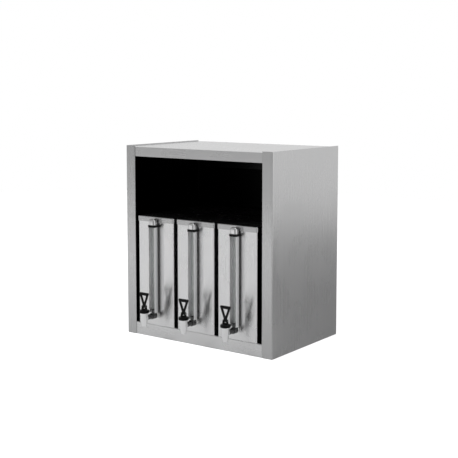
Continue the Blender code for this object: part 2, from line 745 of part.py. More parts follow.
def tap_bonnet(side, tank):
    """Black screw cap on the tap, with two ears that hold the lever's pin."""
    place = (0, -TAP_OUT, SHANK_HEIGHT)
    cup = [
        (BONNET_RADIUS - BONNET_EDGE, BONNET_TOP),
        (BONNET_RADIUS, BONNET_TOP - BONNET_EDGE),
        (BONNET_RADIUS, BONNET_BOTTOM),
        (TAP_NECK_RADIUS + FIT, BONNET_BOTTOM),
        (TAP_NECK_RADIUS + FIT, NECK_TOP + FIT),
        (STEM_RADIUS + FIT, NECK_TOP + FIT),
        (STEM_RADIUS + FIT, BONNET_TOP),
    ]
    bonnet = turned_part(f"tap_bonnet_{side}", cup, tank, black_plastic, place, closed=True)
    root = BONNET_TOP - BONNET_EDGE
    top = PIN_RISE + EAR_ABOVE_PIN
    for sign, word in ((-1, "low"), (1, "high")):
        ear = [
            (sign * EAR_INNER, root),
            (sign * EAR_FOOT, root),
            (sign * EAR_TOP, top),
            (sign * EAR_INNER, top),
        ]
        name = f"bonnet_ear_{word}_{side}"
        mesh = plate_mesh(name, [ear], 2 * EAR_HALF_DEPTH)
        join(bonnet, add_helper(name, mesh, tank, (0, -TAP_OUT, SHANK_HEIGHT), TO_FRONT))
    name = f"bonnet_pin_hole_{side}"
    hole = rod_mesh(name, PIN_RADIUS + FIT, -EAR_FOOT - CUT_MARGIN, EAR_FOOT + CUT_MARGIN, FINE_ROUND)
    pin_place = (0, -TAP_OUT, SHANK_HEIGHT + PIN_RISE)
    cut(bonnet, add_helper(name, hole, tank, pin_place, TO_SIDE))


def lever_outline():
    top = LEVER_TOP / 2
    waist = LEVER_WAIST / 2
    handle = [
        (waist, LEVER_WAIST_RISE),
        (top, LEVER_HEIGHT),
        (-top, LEVER_HEIGHT),
        (-waist, LEVER_WAIST_RISE),
    ]
    outline = [(-waist, 0), (waist, 0)] + rounded(handle, LEVER_CORNER, False)
    slope = (top - waist) / (LEVER_HEIGHT - LEVER_WAIST_RISE)
    window_top = LEVER_HEIGHT - LEVER_BAR
    half = waist + slope * (window_top - LEVER_WAIST_RISE) - LEVER_LEG
    apex = LEVER_WAIST_RISE + (LEVER_LEG - waist) / slope
    window = [(-half, window_top), (0, apex), (half, window_top)]
    return outline, window


def foot_outline():
    """Eye round the pin with a straight tail that ends in a round nose, as (reach, rise) points."""
    start = math.asin(TAIL_HALF / LEVER_EYE)
    outline = []
    for step in range(ROUND + 1):
        angle = start + (2 * math.pi - 2 * start) * step / ROUND
        outline.append((LEVER_EYE * math.cos(angle), LEVER_EYE * math.sin(angle)))
    for step in range(FINE_ROUND // 2 + 1):
        angle = math.pi * (step / (FINE_ROUND // 2) - 0.5)
        outline.append((TAIL_REACH + TAIL_HALF * math.cos(angle), TAIL_HALF * math.sin(angle)))
    return outline


def tap_lever(side, tank):
    """Flat hourglass handle with a window, an eye on the pin and a forked tail under the stem's collar."""
    place = (0, -TAP_OUT, SHANK_HEIGHT + PIN_RISE)
    name = f"tap_lever_{side}"
    outline, window = lever_outline()
    mesh = plate_mesh(name, [outline, window], LEVER_THICKNESS)
    mesh.transform(TO_FRONT)
    lever = add_part(name, mesh, tank, black_plastic, place)
    half = LEVER_FOOT / 2
    foot = plate_mesh(f"lever_foot_{side}", [foot_outline()], LEVER_FOOT)
    foot.transform(TO_SIDE @ Matrix.Rotation(math.pi / 2, 4, "Z"))
    join(lever, add_helper(f"lever_foot_{side}", foot, lever))
    slot_half = STEM_RADIUS + STEM_PLAY
    slot_low = (-slot_half, LEVER_EYE + FIT, -LEVER_EYE)
    slot_high = (slot_half, TAIL_REACH + LEVER_EYE, LEVER_EYE)
    slot = box_mesh(f"lever_slot_{side}", slot_low, slot_high)
    cut(lever, add_helper(f"lever_slot_{side}", slot, lever))
    hole = rod_mesh(f"lever_hole_{side}", PIN_RADIUS + FIT, -half - CUT_MARGIN, half + CUT_MARGIN, FINE_ROUND)
    cut(lever, add_helper(f"lever_hole_{side}", hole, lever, turn=TO_SIDE))
    name = f"lever_pin_{side}"
    pin = rod_mesh(name, PIN_RADIUS, -EAR_TOP, EAR_TOP, FINE_ROUND)
    add_part(name, pin, tank, polished, place, TO_SIDE)


def valve_stem(side, tank):
    """Cranked stem from the seat cup to a collar over the lever's tail, clear of the pin, and the cup."""
    place = (0, -TAP_OUT, SHANK_HEIGHT)
    foot = -SEAT_DROP + FIT + CUP_FLOOR + FIT
    rod = stepped_rod([(STEM_RADIUS, foot, BAR_RISE)])
    stem = turned_part(f"valve_stem_{side}", rod, tank, polished, place, steps=FINE_ROUND)
    reach = STEM_CRANK + STEM_BAR_HALF
    corners = [
        (-STEM_BAR_HALF, -STEM_BAR_HALF),
        (STEM_BAR_HALF, -STEM_BAR_HALF),
        (STEM_BAR_HALF, reach),
        (-STEM_BAR_HALF, reach),
    ]
    bar = plate_mesh(f"stem_bar_{side}", [rounded(corners, STEM_BAR_CORNER, True)], STEM_BAR)
    join(stem, add_helper(f"stem_bar_{side}", bar, tank, (0, -TAP_OUT, SHANK_HEIGHT + BAR_RISE)))
    riser = stepped_rod([
        (STEM_COLLAR_RADIUS, COLLAR_RISE, COLLAR_RISE + STEM_COLLAR),
        (STEM_RADIUS, BAR_RISE, COLLAR_RISE),
    ])
    behind = (0, STEM_CRANK - TAP_OUT, SHANK_HEIGHT)
    join(stem, turned_helper(f"stem_riser_{side}", riser, tank, behind, steps=FINE_ROUND))
    low = -SEAT_DROP + FIT
    cup = [
        (CUP_RADIUS, low + CUP_HEIGHT),
        (CUP_RADIUS, low),
        (0, low),
        (0, low + CUP_FLOOR),
        (STEM_RADIUS + FIT, low + CUP_FLOOR),
        (STEM_RADIUS + FIT, low + CUP_HEIGHT),
    ]
    turned_part(f"seat_cup_{side}", cup, tank, silicone, place, closed=True)


def build_cabinet():
    cabinet = new_empty("cabinet_corner", None, (0, -CABINET_DEPTH, -HANG_HEIGHT))
    side_panel("left_side_panel", -1, cabinet)
    side_panel("right_side_panel", 1, cabinet)
    tray("top_panel", TOP_LEVEL, TOP_LIP, cabinet)
    tray("floor_panel", FLOOR_HEIGHT, FLOOR_HEIGHT, cabinet)
    keyholes(cabinet, (back_panel(cabinet), hanger_rail(cabinet)))
    floor_stiffener(cabinet)
    return cabinet


def build_tank(side, index, cabinet):
    across = (index - (len(TANK_NAMES) - 1) / 2) * TANK_PITCH
    tank = new_empty(f"tank_{side}_slide", cabinet, (across, -TANK_PROUD, FLOOR_HEIGHT + FIT))
    tank_shell(side, tank)
    tank_lid(side, tank)
    shank(side, tank)
    gauge_tee(side, tank)
    sight_gauge(side, tank)
    gauge_cap(side, tank)
    gauge_clip(side, tank)
    tap_body(side, tank)
    tap_bonnet(side, tank)
    tap_lever(side, tank)
    valve_stem(side, tank)


cabinet_corner = build_cabinet()
for tank_index, tank_name in enumerate(TANK_NAMES):
    build_tank(tank_name, tank_index, cabinet_corner)
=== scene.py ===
import json
import math

import bmesh
import bpy
from mathutils import Matrix, Vector


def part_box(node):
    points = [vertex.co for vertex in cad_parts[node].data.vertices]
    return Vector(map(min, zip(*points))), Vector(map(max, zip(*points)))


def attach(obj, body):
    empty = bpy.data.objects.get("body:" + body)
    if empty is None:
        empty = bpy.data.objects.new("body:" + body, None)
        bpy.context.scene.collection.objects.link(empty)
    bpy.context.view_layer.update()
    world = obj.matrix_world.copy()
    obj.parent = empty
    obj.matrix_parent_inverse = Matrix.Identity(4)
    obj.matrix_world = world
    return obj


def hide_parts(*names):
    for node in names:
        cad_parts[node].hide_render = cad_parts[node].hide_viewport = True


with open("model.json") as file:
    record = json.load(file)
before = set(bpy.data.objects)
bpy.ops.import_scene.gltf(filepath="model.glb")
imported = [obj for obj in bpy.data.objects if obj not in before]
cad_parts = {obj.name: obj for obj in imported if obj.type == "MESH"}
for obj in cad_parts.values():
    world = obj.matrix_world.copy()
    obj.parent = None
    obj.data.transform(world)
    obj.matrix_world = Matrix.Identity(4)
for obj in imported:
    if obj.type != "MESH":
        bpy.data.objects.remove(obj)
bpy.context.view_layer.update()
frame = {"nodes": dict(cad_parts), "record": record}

sides = ("left", "middle", "right")
bodyOf = {}
for bodyName, members in frame["record"]["behaviour"]["bodies"].items():
    for member in members:
        bodyOf[member] = bodyName

panelLow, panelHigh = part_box("right_side_panel")
cabinetCorner = Vector((0, panelLow.y, panelLow.z))  # front plane and base of the cabinet
cabinetSize = Vector((2 * panelHigh.x, panelHigh.y - panelLow.y, panelHigh.z - panelLow.z))
tankPlace = {}
for side in sides:
    shellLow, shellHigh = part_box(f"tank_shell_{side}")
    tankPlace[side] = Vector(((shellLow.x + shellHigh.x) / 2, shellLow.y, shellLow.z))
tankSize = shellHigh - shellLow


def onTank(node):
    low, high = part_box(f"{node}_middle")
    return low - tankPlace["middle"], high - tankPlace["middle"]


def middleOf(node):
    low, high = onTank(node)
    return (low + high) / 2


shankHeight = middleOf("tank_shank").z
gaugeOut = -middleOf("gauge_guard").y
tapOut = -middleOf("lever_pin").y
pinRise = middleOf("lever_pin").z - shankHeight
guardLow, guardHigh = onTank("gauge_guard")
guardWidth, guardDepth = guardHigh.x - guardLow.x, guardHigh.y - guardLow.y
fit = 0.0003  # gap between pieces that touch
towardsFront = Matrix.Rotation(math.pi / 2, 4, "X")  # a piece turned along +Z then points out of the front
towardsSide = Matrix.Rotation(math.pi / 2, 4, "Y")
print("frame read:", len(frame["nodes"]), "nodes")


# node trees

def setInputs(tree, node, inputs):
    for name, value in inputs.items():
        if isinstance(value, bpy.types.NodeSocket):
            tree.links.new(value, node.inputs[name])
        else:
            node.inputs[name].default_value = value


def addNode(tree, kind, inputs=None, **settings):
    node = tree.nodes.new(kind)
    for name, value in settings.items():
        setattr(node, name, value)
    setInputs(tree, node, inputs or {})
    return node


def maths(tree, operation, *values):
    return addNode(tree, "ShaderNodeMath", dict(enumerate(values)), operation=operation).outputs["Value"]


def vectorMaths(tree, operation, first, second):
    return addNode(tree, "ShaderNodeVectorMath", {0: first, 1: second}, operation=operation).outputs["Vector"]


def mixColours(tree, share, first, second):
    return addNode(tree, "ShaderNodeMix", {0: share, 6: first, 7: second}, data_type="RGBA").outputs[2]


def mixLevels(tree, share, first, second):
    return addNode(tree, "ShaderNodeMix", {0: share, 2: first, 3: second}).outputs[0]


def newGroup(title, kind, inputs, outputs):
    tree = bpy.data.node_groups.new(title, kind)
    for name, socketKind, value in inputs:
        socket = tree.interface.new_socket(name, in_out="INPUT", socket_type=socketKind)
        if value is not None:
            socket.default_value = value
    for name, socketKind in outputs:
        tree.interface.new_socket(name, in_out="OUTPUT", socket_type=socketKind)
    return tree, addNode(tree, "NodeGroupInput").outputs, addNode(tree, "NodeGroupOutput")


broadShare = 0.45  # how much of the brushing is broad streaks


def makeBrushGrain():
    tree, given, result = newGroup(
        "brushGrain", "ShaderNodeTree",
        [("Vector", "NodeSocketVector", None), ("Across", "NodeSocketFloat", 700.0),
         ("Along", "NodeSocketFloat", 6.0)],
        [("Streak", "NodeSocketFloat")])
    stretch = addNode(tree, "ShaderNodeCombineXYZ",
                      {"X": given["Across"], "Y": given["Across"], "Z": given["Along"]})
    drawn = vectorMaths(tree, "MULTIPLY", given["Vector"], stretch.outputs["Vector"])
    fine = addNode(tree, "ShaderNodeTexNoise",
                   {"Vector": drawn, "Scale": 1.0, "Detail": 3.0, "Roughness": 0.6})
    broad = addNode(tree, "ShaderNodeTexNoise",
                    {"Vector": drawn, "Scale": 0.17, "Detail": 2.0, "Roughness": 0.5})
    setInputs(tree, result, {
        "Streak": mixLevels(tree, broadShare, fine.outputs["Fac"], broad.outputs["Fac"])})
    return tree


def makeWipeMarks():
    tree, given, result = newGroup(
        "wipeMarks", "ShaderNodeTree",
        [("Vector", "NodeSocketVector", None), ("Size", "NodeSocketFloat", 7.0)],
        [("Mark", "NodeSocketFloat")])
    cloud = addNode(tree, "ShaderNodeTexNoise",
                    {"Vector": given["Vector"], "Scale": given["Size"], "Detail": 3.0, "Distortion": 0.6})
    spread = addNode(tree, "ShaderNodeMapRange",
                     {"Value": cloud.outputs["Fac"], "From Min": 0.42, "From Max": 0.72},
                     interpolation_type="SMOOTHSTEP")
    setInputs(tree, result, {"Mark": spread.outputs["Result"]})
    return tree


shadeSoft = (0.0003, 0.0003, 0.0003)  # metres over which the painted shade inside begins


def makeInsideShade():
    tree, given, result = newGroup(
        "insideShade", "ShaderNodeTree",
        [("Vector", "NodeSocketVector", None), ("Low", "NodeSocketVector", None),
         ("High", "NodeSocketVector", None), ("Soft", "NodeSocketVector", shadeSoft)],
        [("Shade", "NodeSocketFloat")])
    ramps = []
    for end, inward in (("Low", "ADD"), ("High", "SUBTRACT")):
        full = vectorMaths(tree, inward, given[end], given["Soft"])
        ramps.append(addNode(tree, "ShaderNodeMapRange", {"Vector": given["Vector"], 7: given[end], 8: full},
                             data_type="FLOAT_VECTOR", interpolation_type="SMOOTHSTEP").outputs["Vector"])
    both = vectorMaths(tree, "MULTIPLY", *ramps)
    axes = addNode(tree, "ShaderNodeSeparateXYZ", {"Vector": both}).outputs
    flat = maths(tree, "MULTIPLY", axes["X"], axes["Y"])
    setInputs(tree, result, {"Shade": maths(tree, "MULTIPLY", flat, axes["Z"])})
    return tree


def makeMouldSkin():
    tree, given, result = newGroup(
        "mouldSkin", "ShaderNodeTree",
        [("Vector", "NodeSocketVector", None), ("Normal", "NodeSocketVector", None)],
        [("Dust", "NodeSocketFloat"), ("Height", "NodeSocketFloat")])
    grain = addNode(tree, "ShaderNodeTexNoise",
                    {"Vector": given["Vector"], "Scale": 1600.0, "Detail": 2.0})
    patch = addNode(tree, "ShaderNodeTexNoise",
                    {"Vector": given["Vector"], "Scale": 120.0, "Detail": 3.0})
    upward = addNode(tree, "ShaderNodeSeparateXYZ", {"Vector": given["Normal"]})
    lying = addNode(tree, "ShaderNodeMapRange",
                    {"Value": upward.outputs["Z"], "From Min": 0.3, "From Max": 1.0})
    dust = maths(tree, "MULTIPLY", lying.outputs["Result"], patch.outputs["Fac"])
    setInputs(tree, result, {"Dust": dust, "Height": grain.outputs["Fac"]})
    return tree


brushGrain = makeBrushGrain()
wipeMarks = makeWipeMarks()
insideShade = makeInsideShade()
mouldSkin = makeMouldSkin()


# finishes

def newFinish(title, shaderValues):
    finish = bpy.data.materials.new(title)
    finish.use_nodes = True
    tree = finish.node_tree
    shader = tree.nodes["Principled BSDF"]
    setInputs(tree, shader, shaderValues)
    place = addNode(tree, "ShaderNodeTexCoord").outputs["Object"]
    return finish, tree, shader, place


coolTint = 1.004  # every grey is a trace blue
drawUpright = 0.25  # a quarter turn, so brushing draws reflections out up and down
grainRelief, skinRelief = 0.0002, 0.0001  # heights of brushed grain and of moulded skin


def grey(level):
    return (level, level, level * coolTint, 1.0)


def smeared(tree, place, values, rough):
    mark = addNode(tree, "ShaderNodeGroup", {
        "Vector": place, "Size": values["markSize"]}, node_tree=wipeMarks).outputs["Mark"]
    return maths(tree, "MULTIPLY_ADD", mark, values["markRough"], rough)


def steelFinish(title, values, shadeLow=None, shadeHigh=None):
    finish, tree, shader, place = newFinish(title, {"Metallic": 1.0})
    if "drawOut" in values:
        setInputs(tree, shader, {"Anisotropic": values["drawOut"], "Anisotropic Rotation": drawUpright})
    turned = addNode(tree, "ShaderNodeMapping", {"Vector": place, "Rotation": values["grainTurn"]})
    streak = addNode(tree, "ShaderNodeGroup", {
        "Vector": turned.outputs["Vector"], "Across": values["across"]}, node_tree=brushGrain).outputs["Streak"]
    colour = mixColours(tree, streak, grey(values["tone"] - values["toneSwing"]),
                        grey(values["tone"] + values["toneSwing"]))
    # painted shade: within the given box the colour turns near black
    if shadeLow:
        shade = addNode(tree, "ShaderNodeGroup", {
            "Vector": place, "Low": shadeLow, "High": shadeHigh}, node_tree=insideShade).outputs["Shade"]
        colour = mixColours(tree, shade, colour, grey(values["insideShadeTone"]))
    grained = maths(tree, "MULTIPLY_ADD", streak, values["roughSwing"],
                    values["rough"] - values["roughSwing"] / 2)
    bump = addNode(tree, "ShaderNodeBump", {
        "Strength": values["grainDepth"], "Distance": grainRelief, "Height": streak})
    setInputs(tree, shader, {"Base Color": colour, "Roughness": smeared(tree, place, values, grained),
                             "Normal": bump.outputs["Normal"]})
    return finish


def brightFinish(title, values):
    finish, tree, shader, place = newFinish(title, {"Metallic": 1.0, "Base Color": grey(values["tone"])})
    if "paintedShadeTone" in values:  # where the mesh is painted with shade
        paintedShade = addNode(tree, "ShaderNodeAttribute", attribute_name="paintedShade").outputs["Fac"]
        tone = mixColours(tree, paintedShade, grey(values["tone"]), grey(values["paintedShadeTone"]))
        setInputs(tree, shader, {"Base Color": tone})
    setInputs(tree, shader, {"Roughness": smeared(tree, place, values, values["rough"])})
    return finish


def mouldedFinish(title, values):
    finish, tree, shader, place = newFinish(title, {
        "Roughness": values["rough"], "Specular IOR Level": values["gloss"]})
    normal = addNode(tree, "ShaderNodeNewGeometry").outputs["Normal"]
    skin = addNode(tree, "ShaderNodeGroup", {"Vector": place, "Normal": normal}, node_tree=mouldSkin).outputs
    bump = addNode(tree, "ShaderNodeBump", {
        "Strength": values["grainDepth"], "Distance": skinRelief, "Height": skin["Height"]})
    setInputs(tree, shader, {"Base Color": mixColours(tree, skin["Dust"], values["colour"], values["dusty"]),
                             "Normal": bump.outputs["Normal"]})
    return finish


panelLook = {"tone": 0.56, "toneSwing": 0.03, "rough": 0.27, "roughSwing": 0.1, "across": 700.0,
             "grainDepth": 0.06, "grainTurn": (0, 0, 0), "markSize": 6.0, "markRough": 0.05,
             "insideShadeTone": 0.006}
trayLook = {**panelLook, "grainTurn": (0, math.pi / 2, 0)}
tankLook = {**panelLook, "tone": 0.83, "toneSwing": 0.05, "rough": 0.25, "roughSwing": 0.05,
            "markRough": 0.04, "grainDepth": 0.03}
lidLook = {**tankLook, "tone": 0.50, "rough": 0.26, "grainTurn": (0, math.pi / 2, 0)}
chromeLook = {"tone": 0.86, "rough": 0.05, "markSize": 90.0, "markRough": 0.07}
pipeShadeTone = 0.10  # painted shade: the pipe between tap and tank is dark in the photograph
# painted shade: the guard's outside darkens to its second tone near the tank
guardLook = {"tone": 0.97, "paintedShadeTone": 0.45, "rough": 0.60, "markSize": 20.0, "markRough": 0.04}
fastenerLook = {"tone": 0.6, "rough": 0.25, "markSize": 90.0, "markRough": 0.1}
blackLook = {"colour": (0.002, 0.002, 0.0022, 1), "dusty": (0.007, 0.007, 0.0074, 1), "rough": 0.34,
             "gloss": 0.14, "grainDepth": 0.12}
rubberLook = {"colour": (0.50, 0.49, 0.47, 1), "dusty": (0.56, 0.55, 0.53, 1), "rough": 0.55, "gloss": 0.4,
              "grainDepth": 0.2}

halfWall = 0.0006  # half the panels' sheet, where the painted shade inside begins
floorEdge = 0.005  # the floor's painted shade starts this far behind its front
beyond = 2.0  # metres, past every piece
innerX = panelHigh.x - halfWall
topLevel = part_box("top_panel")[1].z
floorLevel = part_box("floor_panel")[1].z
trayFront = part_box("top_panel")[0].y

# painted shade: each panel's faces inside the cabinet get a near-black tone in place of the shade there
sideSteel = steelFinish("brushedSideSteel", panelLook,
                        (-innerX, panelLow.y + halfWall, -beyond), (innerX, beyond, topLevel))
topSteel = steelFinish("brushedTopSteel", {**trayLook, "tone": 0.62},
                       (-innerX, trayFront + halfWall, -beyond), (innerX, beyond, topLevel - halfWall))
floorSteel = steelFinish("brushedFloorSteel", {**trayLook, "tone": 0.74},
                         (-beyond, trayFront + floorEdge, floorLevel - halfWall), (beyond, beyond, beyond))
backSteel = steelFinish("brushedBackSteel", panelLook,
                        (-beyond, -beyond, -beyond), (beyond, panelHigh.y - halfWall, beyond))
# painted shade: the rail inside the cabinet is near black in place of the shade it sits in
railSteel = steelFinish("shadedRailSteel", {**panelLook, "tone": 0.03, "toneSwing": 0.005})
tankSteel = steelFinish("satinTankSteel", {**tankLook, "drawOut": 0.95})
lidSteel = steelFinish("brushedLidSteel", lidLook)
chrome = brightFinish("polishedChrome", chromeLook)
tapChrome = brightFinish("polishedTap", {**chromeLook, "paintedShadeTone": pipeShadeTone})
# painted shade: the tee is given the same dark pipe tone
pipeChrome = brightFinish("darkPipe", {**chromeLook, "tone": pipeShadeTone})
capMetal = brightFinish("greyCap", {**chromeLook, "tone": 0.55})
guardSteel = brightFinish("satinGuardSteel", guardLook)
fastenerSteel = brightFinish("fastenerSteel", fastenerLook)
blackPlastic = mouldedFinish("mouldedBlackPlastic", blackLook)
silicone = mouldedFinish("siliconeRubber", rubberLook)
gaugeGlass = newFinish("gaugeGlass", {"Base Color": (0.80, 0.815, 0.81, 1), "Roughness": 0.02,
                                      "Transmission Weight": 1.0, "IOR": 1.47})[0]
print("finishes made:", len(bpy.data.materials))


# bench work: shapes before they go on the cabinet

tiny = 1e-7  # metres, taken as nothing
mergeReach = 1e-6  # points this close become one
mitreLimit = 0.3  # the sharpest fold in a sheet's outline
sharpAngle = 32  # degrees, past which an edge stays sharp
cutAngle = 50  # degrees, past which a plate's edge is rounded
flatAngle = 0.001  # radians, within which faces are one


def rectangle(low, high):
    return [(low[0], low[1]), (high[0], low[1]), (high[0], high[1]), (low[0], high[1])]


def ringProfile(outer, inner, low, high):
    return [(outer, high), (outer, low), (inner, low), (inner, high)]


def asDrawn(x, y, z):
    return x, y, z


def roundCorners(points, radii, steps=5, closed=True):
    rounded = []
    for index, point in enumerate(points):
        corner = Vector(point)
        radius = radii[index] if isinstance(radii, (list, tuple)) else radii
        if radius == 0 or (not closed and index in (0, len(points) - 1)):
            rounded.append(corner)
            continue
        back = (Vector(points[index - 1]) - corner).normalized()
        ahead = (Vector(points[(index + 1) % len(points)]) - corner).normalized()
        half = back.angle(ahead) / 2
        reach = radius / math.tan(half)
        centre = corner + (back + ahead).normalized() * (radius / math.sin(half))
        first = corner + back * reach - centre
        last = corner + ahead * reach - centre
        for step in range(steps + 1):
            rounded.append(centre + first.slerp(last, step / steps) * radius)
    return rounded


def sheetOutline(path, sheet):
    # the path is one face of the sheet, which lies to its left, or to its right where sheet is negative
    inner = []
    for index, point in enumerate(path):
        before = (point - path[index - 1]).normalized() if index else None
        after = (path[index + 1] - point).normalized() if index < len(path) - 1 else None
        before, after = before or after, after or before
        middle = (before + after).normalized()
        inner.append(point + Vector((-middle.y, middle.x)) * (sheet / max(middle.dot(after), mitreLimit)))
    return list(path) + inner[::-1]


def shadeSmooth(mesh, angle=sharpAngle):
    mesh.shade_smooth()
    mesh.set_sharp_from_angle(angle=math.radians(angle))


def smoothMesh(mesh, finish):
    bm = bmesh.new()
    bm.from_mesh(mesh)
    bmesh.ops.remove_doubles(bm, verts=bm.verts, dist=mergeReach)
    bmesh.ops.recalc_face_normals(bm, faces=bm.faces)
    bm.to_mesh(mesh)
    bm.free()
    mesh.materials.clear()
    mesh.materials.append(finish)
    shadeSmooth(mesh)
    return worked(mesh, "WEIGHTED_NORMAL", keep_sharp=True)  # flat sheet stays flat beside its bends


def meshOf(bm, title):
    bmesh.ops.recalc_face_normals(bm, faces=bm.faces)
    mesh = bpy.data.meshes.new(title)
    bm.to_mesh(mesh)
    bm.free()
    return mesh


def prism(title, outline, low, high, lay):
    bm = bmesh.new()
    ends = [[bm.verts.new(lay(point[0], point[1], level)) for point in outline] for level in (low, high)]
    for index in range(len(outline)):
        bm.faces.new((ends[0][index - 1], ends[0][index], ends[1][index], ends[1][index - 1]))
    for end in ends:
        bm.faces.new(end)
    return meshOf(bm, title)


def turnedMesh(title, profile, steps=48, closed=False):
    bm = bmesh.new()
    rings = []
    for radius, height in profile:
        if radius < tiny:
            rings.append([bm.verts.new((0, 0, height))])
            continue
        angles = [2 * math.pi * step / steps for step in range(steps)]
        rings.append([bm.verts.new((radius * math.cos(a), radius * math.sin(a), height)) for a in angles])
    pairs = list(zip(rings, rings[1:]))
    if closed:
        pairs.append((rings[-1], rings[0]))
    for first, second in pairs:
        for step in range(steps):
            if len(first) == 1:
                bm.faces.new((first[0], second[step], second[step - 1]))
            elif len(second) == 1:
                bm.faces.new((first[step - 1], first[step], second[0]))
            else:
                bm.faces.new((first[step - 1], first[step], second[step], second[step - 1]))
    return meshOf(bm, title)


def drillMesh(radius, low, high, steps=48):
    return turnedMesh("drill", [(0, high), (radius, high), (radius, low), (0, low)], steps)


def plateMesh(title, outlines, thickness, edge, lay, edgeSteps=3):
    bm = bmesh.new()
    loops = []
    for outline in outlines:
        verts = [bm.verts.new((point[0], point[1], 0)) for point in outline]
        loops += [bm.edges.new((verts[index - 1], verts[index])) for index in range(len(verts))]
    bmesh.ops.triangle_fill(bm, edges=loops, use_beauty=True, use_dissolve=False)
    made = bmesh.ops.extrude_face_region(bm, geom=bm.faces[:])["geom"]
    raised = [v for v in made if isinstance(v, bmesh.types.BMVert)]
    bmesh.ops.translate(bm, vec=(0, 0, thickness), verts=raised)
    bmesh.ops.translate(bm, vec=(0, 0, -thickness / 2), verts=bm.verts)
    bmesh.ops.recalc_face_normals(bm, faces=bm.faces)
    bmesh.ops.dissolve_limit(bm, angle_limit=flatAngle, verts=bm.verts, edges=bm.edges)
    steep = math.radians(cutAngle)
    sharp = [e for e in bm.edges if len(e.link_faces) == 2 and e.calc_face_angle(0) > steep]
    bmesh.ops.bevel(bm, geom=sharp, offset=edge, segments=edgeSteps, profile=0.5, affect="EDGES")
    for vert in bm.verts:
        vert.co = lay(*vert.co)
    return meshOf(bm, title)


def boxMesh(low, high):
    return prism("cutBox", rectangle(low, high), low[2], high[2], asDrawn)


def panMesh(title, low, high, openUp, corner, edge, steps=5):
    outline = rectangle(low, high)
    bm = bmesh.new()
    bottom = [bm.verts.new((x, y, low[2])) for x, y in outline]
    top = [bm.verts.new((x, y, high[2])) for x, y in outline]
    for index in range(4):
        bm.faces.new((bottom[index - 1], bottom[index], top[index], top[index - 1]))
    closedFace = bm.faces.new(bottom if openUp else top)
    bmesh.ops.recalc_face_normals(bm, faces=bm.faces)
    if closedFace.normal.z * (-1 if openUp else 1) < 0:
        bmesh.ops.reverse_faces(bm, faces=bm.faces)
    for upright, radius in ((True, corner), (False, edge)):
        picked = []
        for e in bm.edges:
            rise = abs(e.verts[0].co.z - e.verts[1].co.z)
            level = rise < tiny and len(e.link_faces) == 2
            if rise > radius if upright else level:
                picked.append(e)
        bmesh.ops.bevel(bm, geom=picked, offset=radius, segments=steps, profile=0.5, affect="EDGES",
                        clamp_overlap=True)
    mesh = bpy.data.meshes.new(title)
    bm.to_mesh(mesh)
    bm.free()
    return mesh


def newObject(title, data):
    made = bpy.data.objects.new(title, data)
    bpy.context.scene.collection.objects.link(made)
    return made


def finishedMesh(blank):
    graph = bpy.context.evaluated_depsgraph_get()
    mesh = bpy.data.meshes.new_from_object(blank.evaluated_get(graph))
    bpy.data.objects.remove(blank)
    return mesh


def worked(mesh, kind, **settings):
    blank = newObject(mesh.name, mesh)
    modifier = blank.modifiers.new(kind, kind)
    for name, value in settings.items():
        setattr(modifier, name, value)
    return finishedMesh(blank)


def thickened(mesh, sheet):
    return worked(mesh, "SOLIDIFY", thickness=sheet, offset=-1, use_even_offset=True)


def combined(mesh, other, operation):
    tool = newObject(other.name, other)
    result = worked(mesh, "BOOLEAN", object=tool, operation=operation, solver="EXACT")
    bpy.data.objects.remove(tool)
    return result


def joined(mesh, other):
    return combined(mesh, other, "UNION")


def cutFrom(mesh, other):
    return combined(mesh, other, "DIFFERENCE")


def paintShade(mesh, rule):
    paintedShade = mesh.attributes.new("paintedShade", "FLOAT", "POINT")
    for index, vert in enumerate(mesh.vertices):
        paintedShade.data[index].value = rule(vert.co)
    return mesh


def setPiece(title, mesh, slotName, body, *nodes):
    piece = newObject(title, mesh)
    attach(piece, body)
    if nodes:
        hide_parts(*nodes)
    return piece


def setOnCabinet(title, mesh, slotName, node):
    mesh.transform(Matrix.Translation(cabinetCorner))
    return setPiece(title, mesh, slotName, "cabinet", node)


def setOnTanks(title, mesh, slotName, node):
    for tankSide in sides:
        copy = mesh.copy()
        copy.transform(Matrix.Translation(tankPlace[tankSide]))
        name = f"{node}_{tankSide}"
        setPiece(f"{title}{tankSide.capitalize()}", copy, slotName, bodyOf[name], name)


def setTurned(title, profile, place, finish, slotName, node, **turning):
    mesh = turnedMesh(title, profile, **turning)
    mesh.transform(place)
    setOnTanks(title, smoothMesh(mesh, finish), slotName, node)


# cabinet

sidePanel = {"sheet": 0.0012, "bend": 0.003, "flange": 0.040, "lipReturn": 0.012, "notchBehind": 0.00015,
             "notchOut": 0.004, "notchIn": 0.007, "notchDepth": 0.016}


def makeSidePanels():
    outer = cabinetSize.x / 2
    edge = outer - sidePanel["flange"]
    corners = [(outer, cabinetSize.y), (outer, 0), (edge, 0), (edge, sidePanel["lipReturn"])]
    path = roundCorners(corners, sidePanel["bend"], steps=7, closed=False)
    outline = sheetOutline(path, -sidePanel["sheet"])
    mesh = prism("sidePanel", outline, 0, cabinetSize.z, asDrawn)
    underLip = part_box("top_panel")[0].z - cabinetCorner.z - fit
    overFloor = floorLevel - cabinetCorner.z + fit
    front = sidePanel["sheet"] + sidePanel["notchBehind"]
    for low, high in ((underLip, 1), (-1, overFloor)):  # room for the lip and the floor behind the flange
        notch = boxMesh((edge - sidePanel["notchOut"], front, low),
                        (edge + sidePanel["notchIn"], sidePanel["notchDepth"], high))
        mesh = cutFrom(mesh, notch)
    for sideName, mirror in (("left", -1), ("right", 1)):
        copy = mesh.copy()
        copy.transform(Matrix.Diagonal((mirror, 1, 1, 1)))
        copy = smoothMesh(copy, sideSteel)
        setOnCabinet(f"sidePanel{sideName.capitalize()}", copy, "brushed_steel", f"{sideName}_side_panel")


tray = {"sheet": 0.0012, "bend": 0.003}


